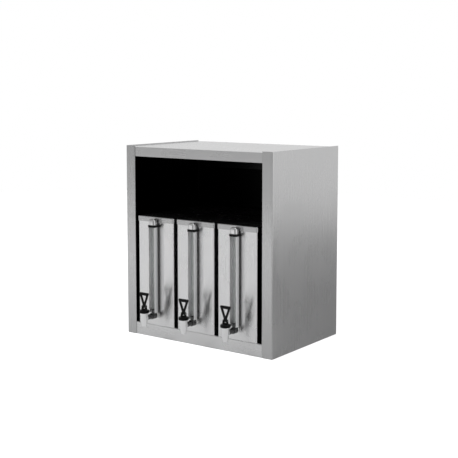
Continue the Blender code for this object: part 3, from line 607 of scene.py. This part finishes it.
def makeTrays():
    for title, node, finish in (("topPanel", "top_panel", topSteel),
                                ("floorPanel", "floor_panel", floorSteel)):
        mesh = panMesh(title, *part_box(node), False, tray["bend"], tray["bend"], steps=6)
        mesh = smoothMesh(thickened(mesh, tray["sheet"]), finish)
        setPiece(title, mesh, "brushed_steel", "cabinet", node)


makeSidePanels()
makeTrays()
for node, finish in (("back_panel", backSteel), ("hanger_rail", railSteel), ("floor_stiffener", sideSteel)):
    frame["nodes"][node].data.materials[0] = finish
print("cabinet panels set")


# rivets, laid in rows by geometry nodes

rivet = {"flange": 0.0034, "crown": 0.0025, "height": 0.0011, "stem": 0.0013, "stemHeight": 0.0017,
         "stemTaper": 0.8, "pitch": 0.1, "fromEdge": 0.008, "stiffenerSheet": 0.0012}


def repeatOnPoints(tree, points, shape, finish, result):
    placed = addNode(tree, "GeometryNodeInstanceOnPoints", {"Points": points, "Instance": shape})
    real = addNode(tree, "GeometryNodeRealizeInstances", {"Geometry": placed.outputs["Instances"]})
    painted = addNode(tree, "GeometryNodeSetMaterial", {
        "Geometry": real.outputs["Geometry"], "Material": finish})
    setInputs(tree, result, {"Geometry": painted.outputs["Geometry"]})


def makeRivetRow():
    tree, given, result = newGroup(
        "rivetRow", "GeometryNodeTree",
        [("Geometry", "NodeSocketGeometry", None), ("Count", "NodeSocketInt", 5),
         ("Start", "NodeSocketVector", None), ("Step", "NodeSocketVector", None),
         ("Facing", "NodeSocketVector", None), ("Finish", "NodeSocketMaterial", None)],
        [("Geometry", "NodeSocketGeometry")])
    line = addNode(tree, "GeometryNodeMeshLine", {
        "Count": given["Count"], "Start Location": given["Start"], "Offset": given["Step"]}, mode="OFFSET")
    head = addNode(tree, "GeometryNodeMeshCone", {
        "Vertices": 24, "Radius Top": rivet["crown"], "Radius Bottom": rivet["flange"],
        "Depth": rivet["height"]})
    stem = addNode(tree, "GeometryNodeMeshCone", {
        "Vertices": 16, "Radius Top": rivet["stem"] * rivet["stemTaper"], "Radius Bottom": rivet["stem"],
        "Depth": rivet["stemHeight"]})
    whole = addNode(tree, "GeometryNodeJoinGeometry")
    for half in (head, stem):
        tree.links.new(half.outputs["Mesh"], whole.inputs["Geometry"])
    turned = addNode(tree, "GeometryNodeTransform", {
        "Geometry": whole.outputs["Geometry"], "Rotation": given["Facing"]})
    repeatOnPoints(tree, line.outputs["Mesh"], turned.outputs["Geometry"], given["Finish"], result)
    return tree


def grownMesh(title, tree, values):
    blank = newObject(title, bpy.data.meshes.new(title))
    modifier = blank.modifiers.new(title, "NODES")
    modifier.node_group = tree
    for item in tree.interface.items_tree:
        if item.in_out == "INPUT" and item.name in values:
            modifier[item.identifier] = values[item.name]
    mesh = finishedMesh(blank)
    mesh.name = title
    return mesh


rivetRow = makeRivetRow()
footLow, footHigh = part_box("floor_stiffener")
railLow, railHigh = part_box("hanger_rail")
footUnder = footHigh.z - rivet["stiffenerSheet"]
rivetRows = {  # count, depth, height, turn and finish
    "stiffenerRivetsFront": (6, footLow.y + rivet["fromEdge"], footUnder, math.pi, fastenerSteel),
    "stiffenerRivetsRear": (6, footHigh.y - rivet["fromEdge"], footUnder, math.pi, fastenerSteel),
    "railRivets": (4, railLow.y, (railLow.z + railHigh.z) / 2, math.pi / 2, railSteel),
}
for title, (count, depth, height, turn, finish) in rivetRows.items():
    rowMesh = grownMesh(title, rivetRow, {
        "Count": count, "Start": (-rivet["pitch"] * (count - 1) / 2, depth, height),
        "Step": (rivet["pitch"], 0, 0), "Facing": (turn, 0, 0), "Finish": finish})
    shadeSmooth(rowMesh)
    setPiece(title, rowMesh, "brushed_steel", "cabinet")
print("rivets laid:", len(rivetRows), "rows")


# tanks and lids

shell = {"sheet": 0.001, "corner": 0.003, "rim": 0.008, "roll": 0.0012, "shankHole": 0.0083,
         "drillPast": 0.004}


def makeTankShell():
    half = tankSize.x / 2
    mesh = panMesh("tankShell", (-half, 0, 0), (half, tankSize.y, tankSize.z), True,
                   shell["corner"], shell["corner"])
    bm = bmesh.new()
    bm.from_mesh(mesh)
    mouth = [e for e in bm.edges if len(e.link_faces) == 1]
    made = bmesh.ops.extrude_edge_only(bm, edges=mouth)["geom"]
    rim = [v for v in made if isinstance(v, bmesh.types.BMVert)]
    inward = (1 - shell["rim"] / half, 1 - shell["rim"] / (tankSize.y / 2), 1)
    bmesh.ops.scale(bm, vec=inward, space=Matrix.Translation((0, -tankSize.y / 2, 0)), verts=rim)
    bmesh.ops.bevel(bm, geom=mouth, offset=shell["roll"], segments=3, profile=0.5, affect="EDGES")
    bm.to_mesh(mesh)
    bm.free()
    mesh = thickened(mesh, shell["sheet"])
    drill = drillMesh(shell["shankHole"], -shell["drillPast"], shell["drillPast"])
    drill.transform(Matrix.Translation((0, 0, shankHeight)) @ towardsFront)
    setOnTanks("tankShell", smoothMesh(cutFrom(mesh, drill), tankSteel), "tank_steel", "tank_shell")


lid = {"sheet": 0.001, "corner": 0.0055, "edge": 0.0022}


def makeTankLid():
    low, high = onTank("tank_lid")
    mesh = panMesh("tankLid", low, high, False, lid["corner"], lid["edge"], steps=6)
    setOnTanks("tankLid", smoothMesh(thickened(mesh, lid["sheet"]), lidSteel), "tank_steel", "tank_lid")


makeTankShell()
makeTankLid()
print("tanks and lids set")


# shank, seal and tee in front of each tank

axis = Matrix.Translation((0, 0, shankHeight))
shank = {"radius": 0.008, "bore": 0.0045, "inside": 0.016, "collar": 0.0108, "collarDepth": 0.004,
         "spigot": 0.0045, "edge": 0.002, "endEdge": 0.0006}
seal = {"radius": 0.0100, "thickness": 0.002, "edge": 0.0004}
collarBack = 2 * fit + seal["thickness"]
collarFront = collarBack + shank["collarDepth"]


def makeShank():
    edge = shank["edge"]
    profile = roundCorners(
        [(shank["radius"], collarFront + shank["spigot"]), (shank["radius"], collarFront),
         (shank["collar"], collarFront), (shank["collar"], collarBack), (shank["radius"], collarBack),
         (shank["radius"], -shank["inside"]), (shank["bore"], -shank["inside"]),
         (shank["bore"], collarFront + shank["spigot"])],
        [0, 0, edge, edge / 2, 0, shank["endEdge"], 0, 0], steps=4)
    outOfFront = axis @ towardsFront
    setTurned("tankShank", profile, outOfFront, chrome, "polished_metal", "tank_shank", closed=True)
    washer = roundCorners(ringProfile(seal["radius"], shank["radius"] + fit, fit, collarBack - fit),
                          seal["edge"], steps=3)
    setTurned("shankSeal", washer, outOfFront, silicone, "silicone", "shank_seal", closed=True)


guard = {"sheet": 0.001, "bend": 0.0025, "paintedShadeFall": 2.5}
tee = {"radius": 0.011, "spigot": 0.007, "spigotLength": 0.011, "neckRise": 0.021, "neckPlay": 0.0005,
       "socket": 0.0068, "socketDepth": 0.005, "edge": 0.0014, "spigotEdge": 0.0005, "neckEdge": 0.0004,
       "socketEdge": 0.0003}
teeFront = gaugeOut + tee["radius"]


def makeTee():
    back, edge = collarFront + fit, tee["edge"]
    barrel = roundCorners(
        [(0, teeFront + tee["spigotLength"]), (tee["spigot"], teeFront + tee["spigotLength"]),
         (tee["spigot"], teeFront), (tee["radius"], teeFront), (tee["radius"], back), (0, back)],
        [0, tee["spigotEdge"], 0, edge, edge, 0], steps=4, closed=False)
    mesh = turnedMesh("gaugeTee", barrel)
    mesh.transform(axis @ towardsFront)
    radius = guardDepth / 2 - guard["sheet"] - tee["neckPlay"]
    rise, deep = tee["neckRise"], tee["neckRise"] - tee["socketDepth"]
    neck = roundCorners(
        [(0, 0), (radius, 0), (radius, rise), (tee["socket"], rise), (tee["socket"], deep), (0, deep)],
        [0, 0, tee["neckEdge"], tee["socketEdge"], 0, 0], steps=3, closed=False)
    upright = turnedMesh("teeNeck", neck)
    upright.transform(Matrix.Translation((0, -gaugeOut, shankHeight)))
    setOnTanks("gaugeTee", smoothMesh(joined(mesh, upright), pipeChrome), "polished_metal", "gauge_tee")


makeShank()
makeTee()


# sight gauge

glass = {"radius": 0.005, "wall": 0.0012, "edge": 0.0004}
gland = {"edge": 0.0004}
clip = {"corner": 0.0025, "edge": 0.0004}
cap = {"corner": 0.007, "crown": 0.006, "socket": 0.010, "drillPast": 0.002}
gaugeAxis = Matrix.Translation((0, -gaugeOut, 0))


def makeGaugeGlass():
    low, high = onTank("gauge_glass")
    tube = roundCorners(ringProfile(glass["radius"], glass["radius"] - glass["wall"], low.z, high.z),
                        glass["edge"], steps=3)
    setTurned("gaugeGlass", tube, gaugeAxis, gaugeGlass, "gauge_glass", "gauge_glass", closed=True)
    low, high = onTank("gauge_seal")
    ring = roundCorners(ringProfile(tee["socket"] - fit, glass["radius"] + fit, low.z, high.z),
                        gland["edge"], steps=3)
    setTurned("gaugeSeal", ring, gaugeAxis, blackPlastic, "black_plastic", "gauge_seal", closed=True)


def makeGuard():
    half, deep, bend = guardWidth / 2, guardDepth / 2, guard["bend"]
    levels = [-deep, -deep / 2, 0, deep / 3]
    corners = [(half, y) for y in levels] + [(half, deep), (-half, deep)] + [(-half, y) for y in levels[::-1]]
    path = roundCorners(corners, [0] * 4 + [bend, bend] + [0] * 4, steps=7, closed=False)
    outline = sheetOutline(path, guard["sheet"])
    mesh = prism("gaugeGuard", outline, guardLow.z, guardHigh.z, lambda x, y, z: (x, y - gaugeOut, z))

    # painted shade: the guard's outer faces darken towards the tank
    def shadeTowardsTank(point):
        y = point.y + gaugeOut
        corner = Vector((max(abs(point.x) - half + bend, 0), max(y - deep + bend, 0)))
        return (0.5 + y / (2 * deep)) ** guard["paintedShadeFall"] if corner.length > bend - guard["sheet"] / 2 else 0

    mesh = paintShade(smoothMesh(mesh, guardSteel), shadeTowardsTank)
    setOnTanks("gaugeGuard", mesh, "polished_metal", "gauge_guard")


def makeClip():
    low, high = onTank("gauge_clip")
    half, deep, middle = guardWidth / 2 + fit, guardDepth / 2, (low.z + high.z) / 2
    wide, tight = clip["corner"], clip["corner"] / 4
    outline = roundCorners(rectangle(low, high), [wide, wide, tight, tight], steps=4)
    hole = roundCorners(rectangle((-half, -gaugeOut - deep - fit), (half, -gaugeOut + deep + fit)),
                        [tight, tight, wide, wide], steps=4)
    mesh = plateMesh("gaugeClip", [outline, hole], high.z - low.z, clip["edge"],
                     lambda x, y, z: (x, y, z + middle))
    setOnTanks("gaugeClip", smoothMesh(mesh, blackPlastic), "black_plastic", "gauge_clip")


def makeCap():
    low, high = onTank("gauge_cap")
    mesh = panMesh("gaugeCap", low, high, False, cap["corner"], cap["crown"], steps=8)
    bm = bmesh.new()
    bm.from_mesh(mesh)
    bmesh.ops.holes_fill(bm, edges=bm.edges)
    bm.to_mesh(mesh)
    bm.free()
    drill = drillMesh(glass["radius"] + fit, -cap["drillPast"], cap["socket"])
    drill.transform(Matrix.Translation((0, -gaugeOut, low.z)))
    setOnTanks("gaugeCap", smoothMesh(cutFrom(mesh, drill), capMetal), "polished_metal", "gauge_cap")


makeGaugeGlass()
makeGuard()
makeClip()
makeCap()
print("gauges set")


# tap

tap = {"arm": 0.0088, "armPast": 0.0006, "radius": 0.0125, "shoulder": 0.0185, "neckRise": 0.0245,
       "neck": 0.0103, "bellyDrop": 0.004, "spoutDrop": 0.0265, "spout": 0.0085, "bore": 0.0065,
       "boreRise": -0.0085, "edge": 0.001, "neckEdge": 0.0005, "belly": 0.006, "lipOuter": 0.0007,
       "lipInner": 0.0006, "boreEdge": 0.001}
tapPlace = Matrix.Translation((0, -tapOut, shankHeight))
paintPlay = 1e-5


def makeTapBody():
    profile = roundCorners(
        [(0, tap["neckRise"]), (tap["neck"], tap["neckRise"]), (tap["neck"], tap["shoulder"]),
         (tap["radius"], tap["shoulder"]), (tap["radius"], -tap["bellyDrop"]),
         (tap["spout"], -tap["spoutDrop"]), (tap["bore"], -tap["spoutDrop"]), (tap["bore"], tap["boreRise"]),
         (0, tap["boreRise"])],
        [0, tap["neckEdge"], 0, tap["edge"], tap["belly"], tap["lipOuter"], tap["lipInner"], tap["boreEdge"],
         0], steps=6, closed=False)
    body = turnedMesh("tapBody", profile, steps=64)
    body.transform(tapPlace)
    start, armRoot = teeFront + fit, tapOut - tap["radius"] - tap["armPast"]
    arm = turnedMesh("tapArm", roundCorners(
        [(0, tapOut), (tap["arm"], tapOut), (tap["arm"], armRoot), (tap["arm"], start), (0, start)],
        [0, 0, 0, tap["edge"], 0], steps=4, closed=False))
    arm.transform(axis @ towardsFront)
    mesh = smoothMesh(joined(body, arm), tapChrome)
    paintShade(mesh, lambda point: float(point.y > -armRoot - paintPlay))  # painted shade: the arm is dark, the body bright
    setOnTanks("tapBody", mesh, "polished_metal", "tap_body")


bonnet = {"radius": 0.016, "height": 0.0095, "edge": 0.0018, "stemHole": 0.0021, "earInner": 0.0056,
          "earFoot": 0.0098, "earTop": 0.0078, "earHalfDepth": 0.0048, "earEdge": 0.0008, "earCorner": 0.0008,
          "earInnerCorner": 0.0004, "webDepth": 0.0018, "webInEar": 0.001, "drillPast": 0.004,
          "skirtOuter": 0.0006, "skirtInner": 0.0003}
bonnetLow = tap["shoulder"] + fit
bonnetHigh = bonnetLow + bonnet["height"]
pin = {"radius": 0.0016, "above": 0.0045, "edge": 0.0005}
pinPlace = Matrix.Translation((0, -tapOut, shankHeight + pinRise))
lever = {"height": 0.048, "top": 0.041, "waist": 0.0105, "waistRise": 0.0078, "thickness": 0.007,
         "bar": 0.0095, "leg": 0.0062, "corner": 0.003, "edge": 0.0014, "foot": 0.0106, "eye": 0.0036,
         "tailReach": 0.007, "tailHalf": 0.002, "forkHalf": 0.0024, "waistCorner": 0.004,
         "windowCorner": 0.0012, "windowFoot": 0.001, "footEdge": 0.0004, "eyeSteps": 32, "tailSteps": 12}


def pinDrill(wide):
    return drillMesh(pin["radius"] + fit, -wide, wide, steps=24)


def makeBonnet():
    neck, ceiling = tap["neck"] + fit, tap["neckRise"] + fit
    profile = roundCorners(
        [(bonnet["stemHole"], bonnetHigh), (bonnet["radius"], bonnetHigh), (bonnet["radius"], bonnetLow),
         (neck, bonnetLow), (neck, ceiling), (bonnet["stemHole"], ceiling)],
        [0, bonnet["edge"], bonnet["skirtOuter"], bonnet["skirtInner"], 0, 0], steps=5)
    mesh = turnedMesh("tapBonnet", profile, steps=64, closed=True)
    mesh.transform(tapPlace)
    root, top = bonnetHigh - bonnet["edge"], pinRise + pin["above"]
    for mirror in (-1, 1):
        ear = [(bonnet["earInner"], root), (bonnet["earFoot"], root), (bonnet["earTop"], top),
               (bonnet["earInner"], top)]
        ear = roundCorners([(mirror * x, z) for x, z in ear],
                           [0, 0, bonnet["earCorner"], bonnet["earInnerCorner"]], steps=3)
        plate = plateMesh("bonnetEar", [ear], 2 * bonnet["earHalfDepth"], bonnet["earEdge"],
                          lambda x, z, y: (x, y - tapOut, z + shankHeight))
        mesh = joined(mesh, plate)
    front, webTop = bonnet["earHalfDepth"], pinRise - lever["eye"] - 2 * fit
    webHalf = bonnet["earInner"] + bonnet["webInEar"]
    web = boxMesh((-webHalf, -front, root), (webHalf, bonnet["webDepth"] - front, webTop))
    web.transform(tapPlace)
    mesh = joined(mesh, web)
    drill = pinDrill(bonnet["earFoot"] + bonnet["drillPast"])
    drill.transform(pinPlace @ towardsSide)
    setOnTanks("tapBonnet", smoothMesh(cutFrom(mesh, drill), blackPlastic), "black_plastic", "tap_bonnet")


def makeLever():
    top, waist, low, high = lever["top"] / 2, lever["waist"] / 2, lever["waistRise"], lever["height"]
    outline = roundCorners(
        [(-waist, 0), (waist, 0), (waist, low), (top, high), (-top, high), (-waist, low)],
        [0, 0, lever["waistCorner"], lever["corner"], lever["corner"], lever["waistCorner"]], steps=6)
    slope = (top - waist) / (high - low)
    windowTop = high - lever["bar"]
    half = waist + slope * (windowTop - low) - lever["leg"]
    apex = low + (lever["leg"] - waist) / slope
    window = roundCorners([(-half, windowTop), (0, apex), (half, windowTop)],
                          [lever["windowCorner"], lever["windowFoot"], lever["windowCorner"]], steps=4)
    mesh = plateMesh("tapLever", [outline, window], lever["thickness"], lever["edge"],
                     lambda x, z, y: (x, y, z))
    eye, tail, reach = lever["eye"], lever["tailHalf"], lever["tailReach"]
    opening = math.asin(tail / eye)
    foot = []
    for step in range(lever["eyeSteps"] + 1):
        turn = opening + (2 * math.pi - 2 * opening) * step / lever["eyeSteps"]
        foot.append((eye * math.cos(turn), eye * math.sin(turn)))
    for step in range(lever["tailSteps"] + 1):
        turn = math.pi * (step / lever["tailSteps"] - 0.5)
        foot.append((reach + tail * math.cos(turn), tail * math.sin(turn)))
    footPlate = plateMesh("leverFoot", [foot], lever["foot"], lever["footEdge"],
                          lambda y, z, x: (x, y, z), edgeSteps=2)
    mesh = joined(mesh, footPlate)
    fork = lever["forkHalf"]
    mesh = cutFrom(mesh, boxMesh((-fork, eye + fit, -eye), (fork, reach + eye, eye)))
    drill = pinDrill(lever["foot"])
    drill.transform(towardsSide)
    mesh = cutFrom(mesh, drill)
    mesh.transform(pinPlace)
    setOnTanks("tapLever", smoothMesh(mesh, blackPlastic), "black_plastic", "tap_lever")


stem = {"radius": 0.0018, "collar": 0.0037, "collarHeight": 0.0026, "crank": 0.0075, "bar": 0.002,
        "barHalf": 0.0024, "barRound": 0.9, "barEdge": 0.0004, "lift": 0.0042, "footEdge": 0.0003,
        "collarTop": 0.0006, "collarUnder": 0.0003}


def makePinAndStem():
    reach = bonnet["earTop"]
    rod = roundCorners([(0, reach), (pin["radius"], reach), (pin["radius"], -reach), (0, -reach)],
                       [0, pin["edge"], pin["edge"], 0], steps=3, closed=False)
    setTurned("leverPin", rod, pinPlace @ towardsSide, chrome, "polished_metal", "lever_pin", steps=24)
    low, high = (corner.z - shankHeight for corner in onTank("valve_stem"))
    radius, wide, collarLow = stem["radius"], stem["barHalf"], high - stem["collarHeight"]
    barRise = pinRise - lever["eye"] - fit - stem["lift"] - stem["bar"] / 2
    mesh = turnedMesh("valveStem", roundCorners(
        [(0, barRise), (radius, barRise), (radius, low), (0, low)],
        [0, 0, stem["footEdge"], 0], steps=3, closed=False), steps=24)
    bar = roundCorners(rectangle((-wide, -wide), (wide, stem["crank"] + wide)),
                       wide * stem["barRound"], steps=6)
    mesh = joined(mesh, plateMesh("stemBar", [bar], stem["bar"], stem["barEdge"],
                                  lambda x, y, z: (x, y, z + barRise)))
    riser = turnedMesh("stemRiser", roundCorners(
        [(0, high), (stem["collar"], high), (stem["collar"], collarLow), (radius, collarLow),
         (radius, barRise), (0, barRise)],
        [0, stem["collarTop"], stem["collarUnder"], 0, 0, 0], steps=3, closed=False), steps=24)
    riser.transform(Matrix.Translation((0, stem["crank"], 0)))
    mesh = joined(mesh, riser)
    mesh.transform(tapPlace)
    setOnTanks("valveStem", smoothMesh(mesh, chrome), "polished_metal", "valve_stem")


makeTapBody()
makeBonnet()
makeLever()
makePinAndStem()
for side in sides:
    frame["nodes"][f"shank_nut_{side}"].data.materials[0] = fastenerSteel
    frame["nodes"][f"seat_cup_{side}"].data.materials[0] = silicone
print("taps set")


# grip ribs round each bonnet, by geometry nodes

rib = {"count": 28, "sink": 0.0001, "radius": 0.0006, "height": 0.006, "sharpAngle": 40}


def makeGripRibs():
    tree, given, result = newGroup(
        "gripRibs", "GeometryNodeTree",
        [("Geometry", "NodeSocketGeometry", None), ("Count", "NodeSocketInt", rib["count"]),
         ("Ring", "NodeSocketFloat", bonnet["radius"]), ("Centre", "NodeSocketVector", None),
         ("Thickness", "NodeSocketFloat", rib["radius"]), ("Height", "NodeSocketFloat", rib["height"]),
         ("Finish", "NodeSocketMaterial", None)],
        [("Geometry", "NodeSocketGeometry")])
    ring = addNode(tree, "GeometryNodeMeshCircle", {"Vertices": given["Count"], "Radius": given["Ring"]})
    moved = addNode(tree, "GeometryNodeTransform", {
        "Geometry": ring.outputs["Mesh"], "Translation": given["Centre"]})
    bar = addNode(tree, "GeometryNodeMeshCylinder", {
        "Vertices": 10, "Radius": given["Thickness"], "Depth": given["Height"]})
    repeatOnPoints(tree, moved.outputs["Geometry"], bar.outputs["Mesh"], given["Finish"], result)
    return tree


gripRibs = makeGripRibs()
for side in sides:
    centre = tankPlace[side] + Vector((0, -tapOut, shankHeight + (bonnetLow + bonnetHigh) / 2))
    ribMesh = grownMesh(f"bonnetRibs{side.capitalize()}", gripRibs, {
        "Count": rib["count"], "Ring": bonnet["radius"] - rib["sink"], "Centre": centre,
        "Thickness": rib["radius"], "Height": rib["height"], "Finish": blackPlastic})
    shadeSmooth(ribMesh, rib["sharpAngle"])
    setPiece(f"bonnetRibs{side.capitalize()}", ribMesh, "black_plastic", f"tank_{side}")
print("bonnet ribs set")


# stage: floor, light and camera

stageLook = {"floorTone": 0.82, "floorGlow": 0.88, "floorMirror": 0.04, "floorMiddle": (-1.3, 0.5),
             "floorRadius": 3.4, "floorGap": 0.0005, "skyFill": 0.18, "around": 0.88, "frontLeft": 0.52,
             "cameraSide": 0.30, "rightGlow": 1.3}
skyPatches = {
    "cameraWard": {"towards": (0.586, -0.806, 0), "start": 0.5, "full": 0.9},
    "above": {"towards": (0, 0, 1), "start": -0.35, "full": -0.05},
    "leftWard": {"towards": (-0.586, -0.806, 0), "start": 0.1, "full": 0.8},
    "rightWard": {"towards": (0.998, -0.06, 0), "start": 0.70, "full": 0.90},
}


def seenInSteel(tree, path):  # and through glass
    return maths(tree, "MAXIMUM", path["Is Glossy Ray"], path["Is Transmission Ray"])


def makeFloor():
    middle = Vector((*stageLook["floorMiddle"], panelLow.z - stageLook["floorGap"]))
    bm = bmesh.new()
    bmesh.ops.create_circle(bm, cap_ends=True, radius=stageLook["floorRadius"], segments=96,
                            matrix=Matrix.Translation(middle))
    mesh = bpy.data.meshes.new("studioFloor")
    bm.to_mesh(mesh)
    bm.free()
    finish = bpy.data.materials.new("paleFloor")
    finish.use_nodes = True
    tree = finish.node_tree
    tree.nodes.clear()
    path = addNode(tree, "ShaderNodeLightPath").outputs
    pale = addNode(tree, "ShaderNodeBsdfDiffuse", {"Color": grey(stageLook["floorTone"])})
    inSteel = maths(tree, "MULTIPLY", seenInSteel(tree, path), stageLook["floorMirror"])
    glow = maths(tree, "MULTIPLY_ADD", path["Is Camera Ray"], stageLook["floorGlow"], inSteel)
    lit = addNode(tree, "ShaderNodeEmission", {"Color": (1, 1, 1, 1), "Strength": glow})
    both = addNode(tree, "ShaderNodeAddShader", {0: pale.outputs["BSDF"], 1: lit.outputs["Emission"]})
    addNode(tree, "ShaderNodeOutputMaterial", {"Surface": both.outputs["Shader"]})
    mesh.materials.append(finish)
    floor = newObject("studioFloor", mesh)


def skyPatch(tree, direction, towards, start, full):
    dot = addNode(tree, "ShaderNodeVectorMath", {0: direction, 1: towards}, operation="DOT_PRODUCT")
    return addNode(tree, "ShaderNodeMapRange", {
        "Value": dot.outputs["Value"], "From Min": start, "From Max": full},
        interpolation_type="SMOOTHSTEP").outputs["Result"]


def makeSky():
    sky = bpy.data.worlds.new("studioSky")
    bpy.context.scene.world = sky
    sky.use_nodes = True
    tree = sky.node_tree
    tree.nodes.clear()
    path = addNode(tree, "ShaderNodeLightPath").outputs
    direction = addNode(tree, "ShaderNodeTexCoord").outputs["Generated"]
    patch = {name: skyPatch(tree, direction, **values) for name, values in skyPatches.items()}
    room = mixLevels(tree, patch["leftWard"], stageLook["around"], stageLook["frontLeft"])
    dark = maths(tree, "MULTIPLY", patch["cameraWard"], patch["above"])
    room = mixLevels(tree, dark, room, stageLook["cameraSide"])
    room = mixLevels(tree, patch["rightWard"], room, stageLook["rightGlow"])
    fill = mixLevels(tree, seenInSteel(tree, path), stageLook["skyFill"], room)
    level = mixLevels(tree, path["Is Camera Ray"], fill, 1.0)  # the camera sees white
    lit = addNode(tree, "ShaderNodeBackground", {"Color": (1, 1, 1, 1), "Strength": level})
    addNode(tree, "ShaderNodeOutputWorld", {"Surface": lit.outputs["Background"]})


lamps = {
    "keySoftbox": {"place": (-1.9, -2.9, 1.9), "aim": (-0.6, -1.1, -0.6), "size": 1.6, "power": 92,
                   "inSteel": False},
    "topSoftbox": {"place": (0.3, -0.6, 2.2), "aim": (0, -0.25, -0.3), "size": 1.8, "power": 14,
                   "inSteel": True},
}


def makeLamps():
    for title, lamp in lamps.items():
        light = bpy.data.lights.new(title, "AREA")
        light.shape = "SQUARE"
        light.size = lamp["size"]
        light.energy = lamp["power"]
        holder = newObject(title, light)
        holder.location = lamp["place"]
        holder.visible_glossy = lamp["inSteel"]
        ahead = Vector(lamp["aim"]) - Vector(lamp["place"])
        holder.rotation_euler = ahead.to_track_quat("-Z", "Y").to_euler()


lens = {"place": (1.93494, -2.46764, 0.84497), "yaw": 36.1164, "pitch": 5.6158, "focal": 76.297,
        "sensor": 36, "shift": -0.1}


def makeCamera():
    camera = bpy.data.cameras.new("productCamera")
    camera.sensor_width = lens["sensor"]
    camera.lens = lens["focal"]
    camera.shift_y = lens["shift"]
    holder = newObject("productCamera", camera)
    holder.location = cabinetCorner + Vector(lens["place"])
    holder.rotation_euler = (math.radians(90 - lens["pitch"]), 0, math.radians(lens["yaw"]))
    bpy.context.scene.camera = holder


makeFloor()
makeSky()
makeLamps()
makeCamera()
bpy.context.scene.view_settings.view_transform = "Standard"
print("stage set")
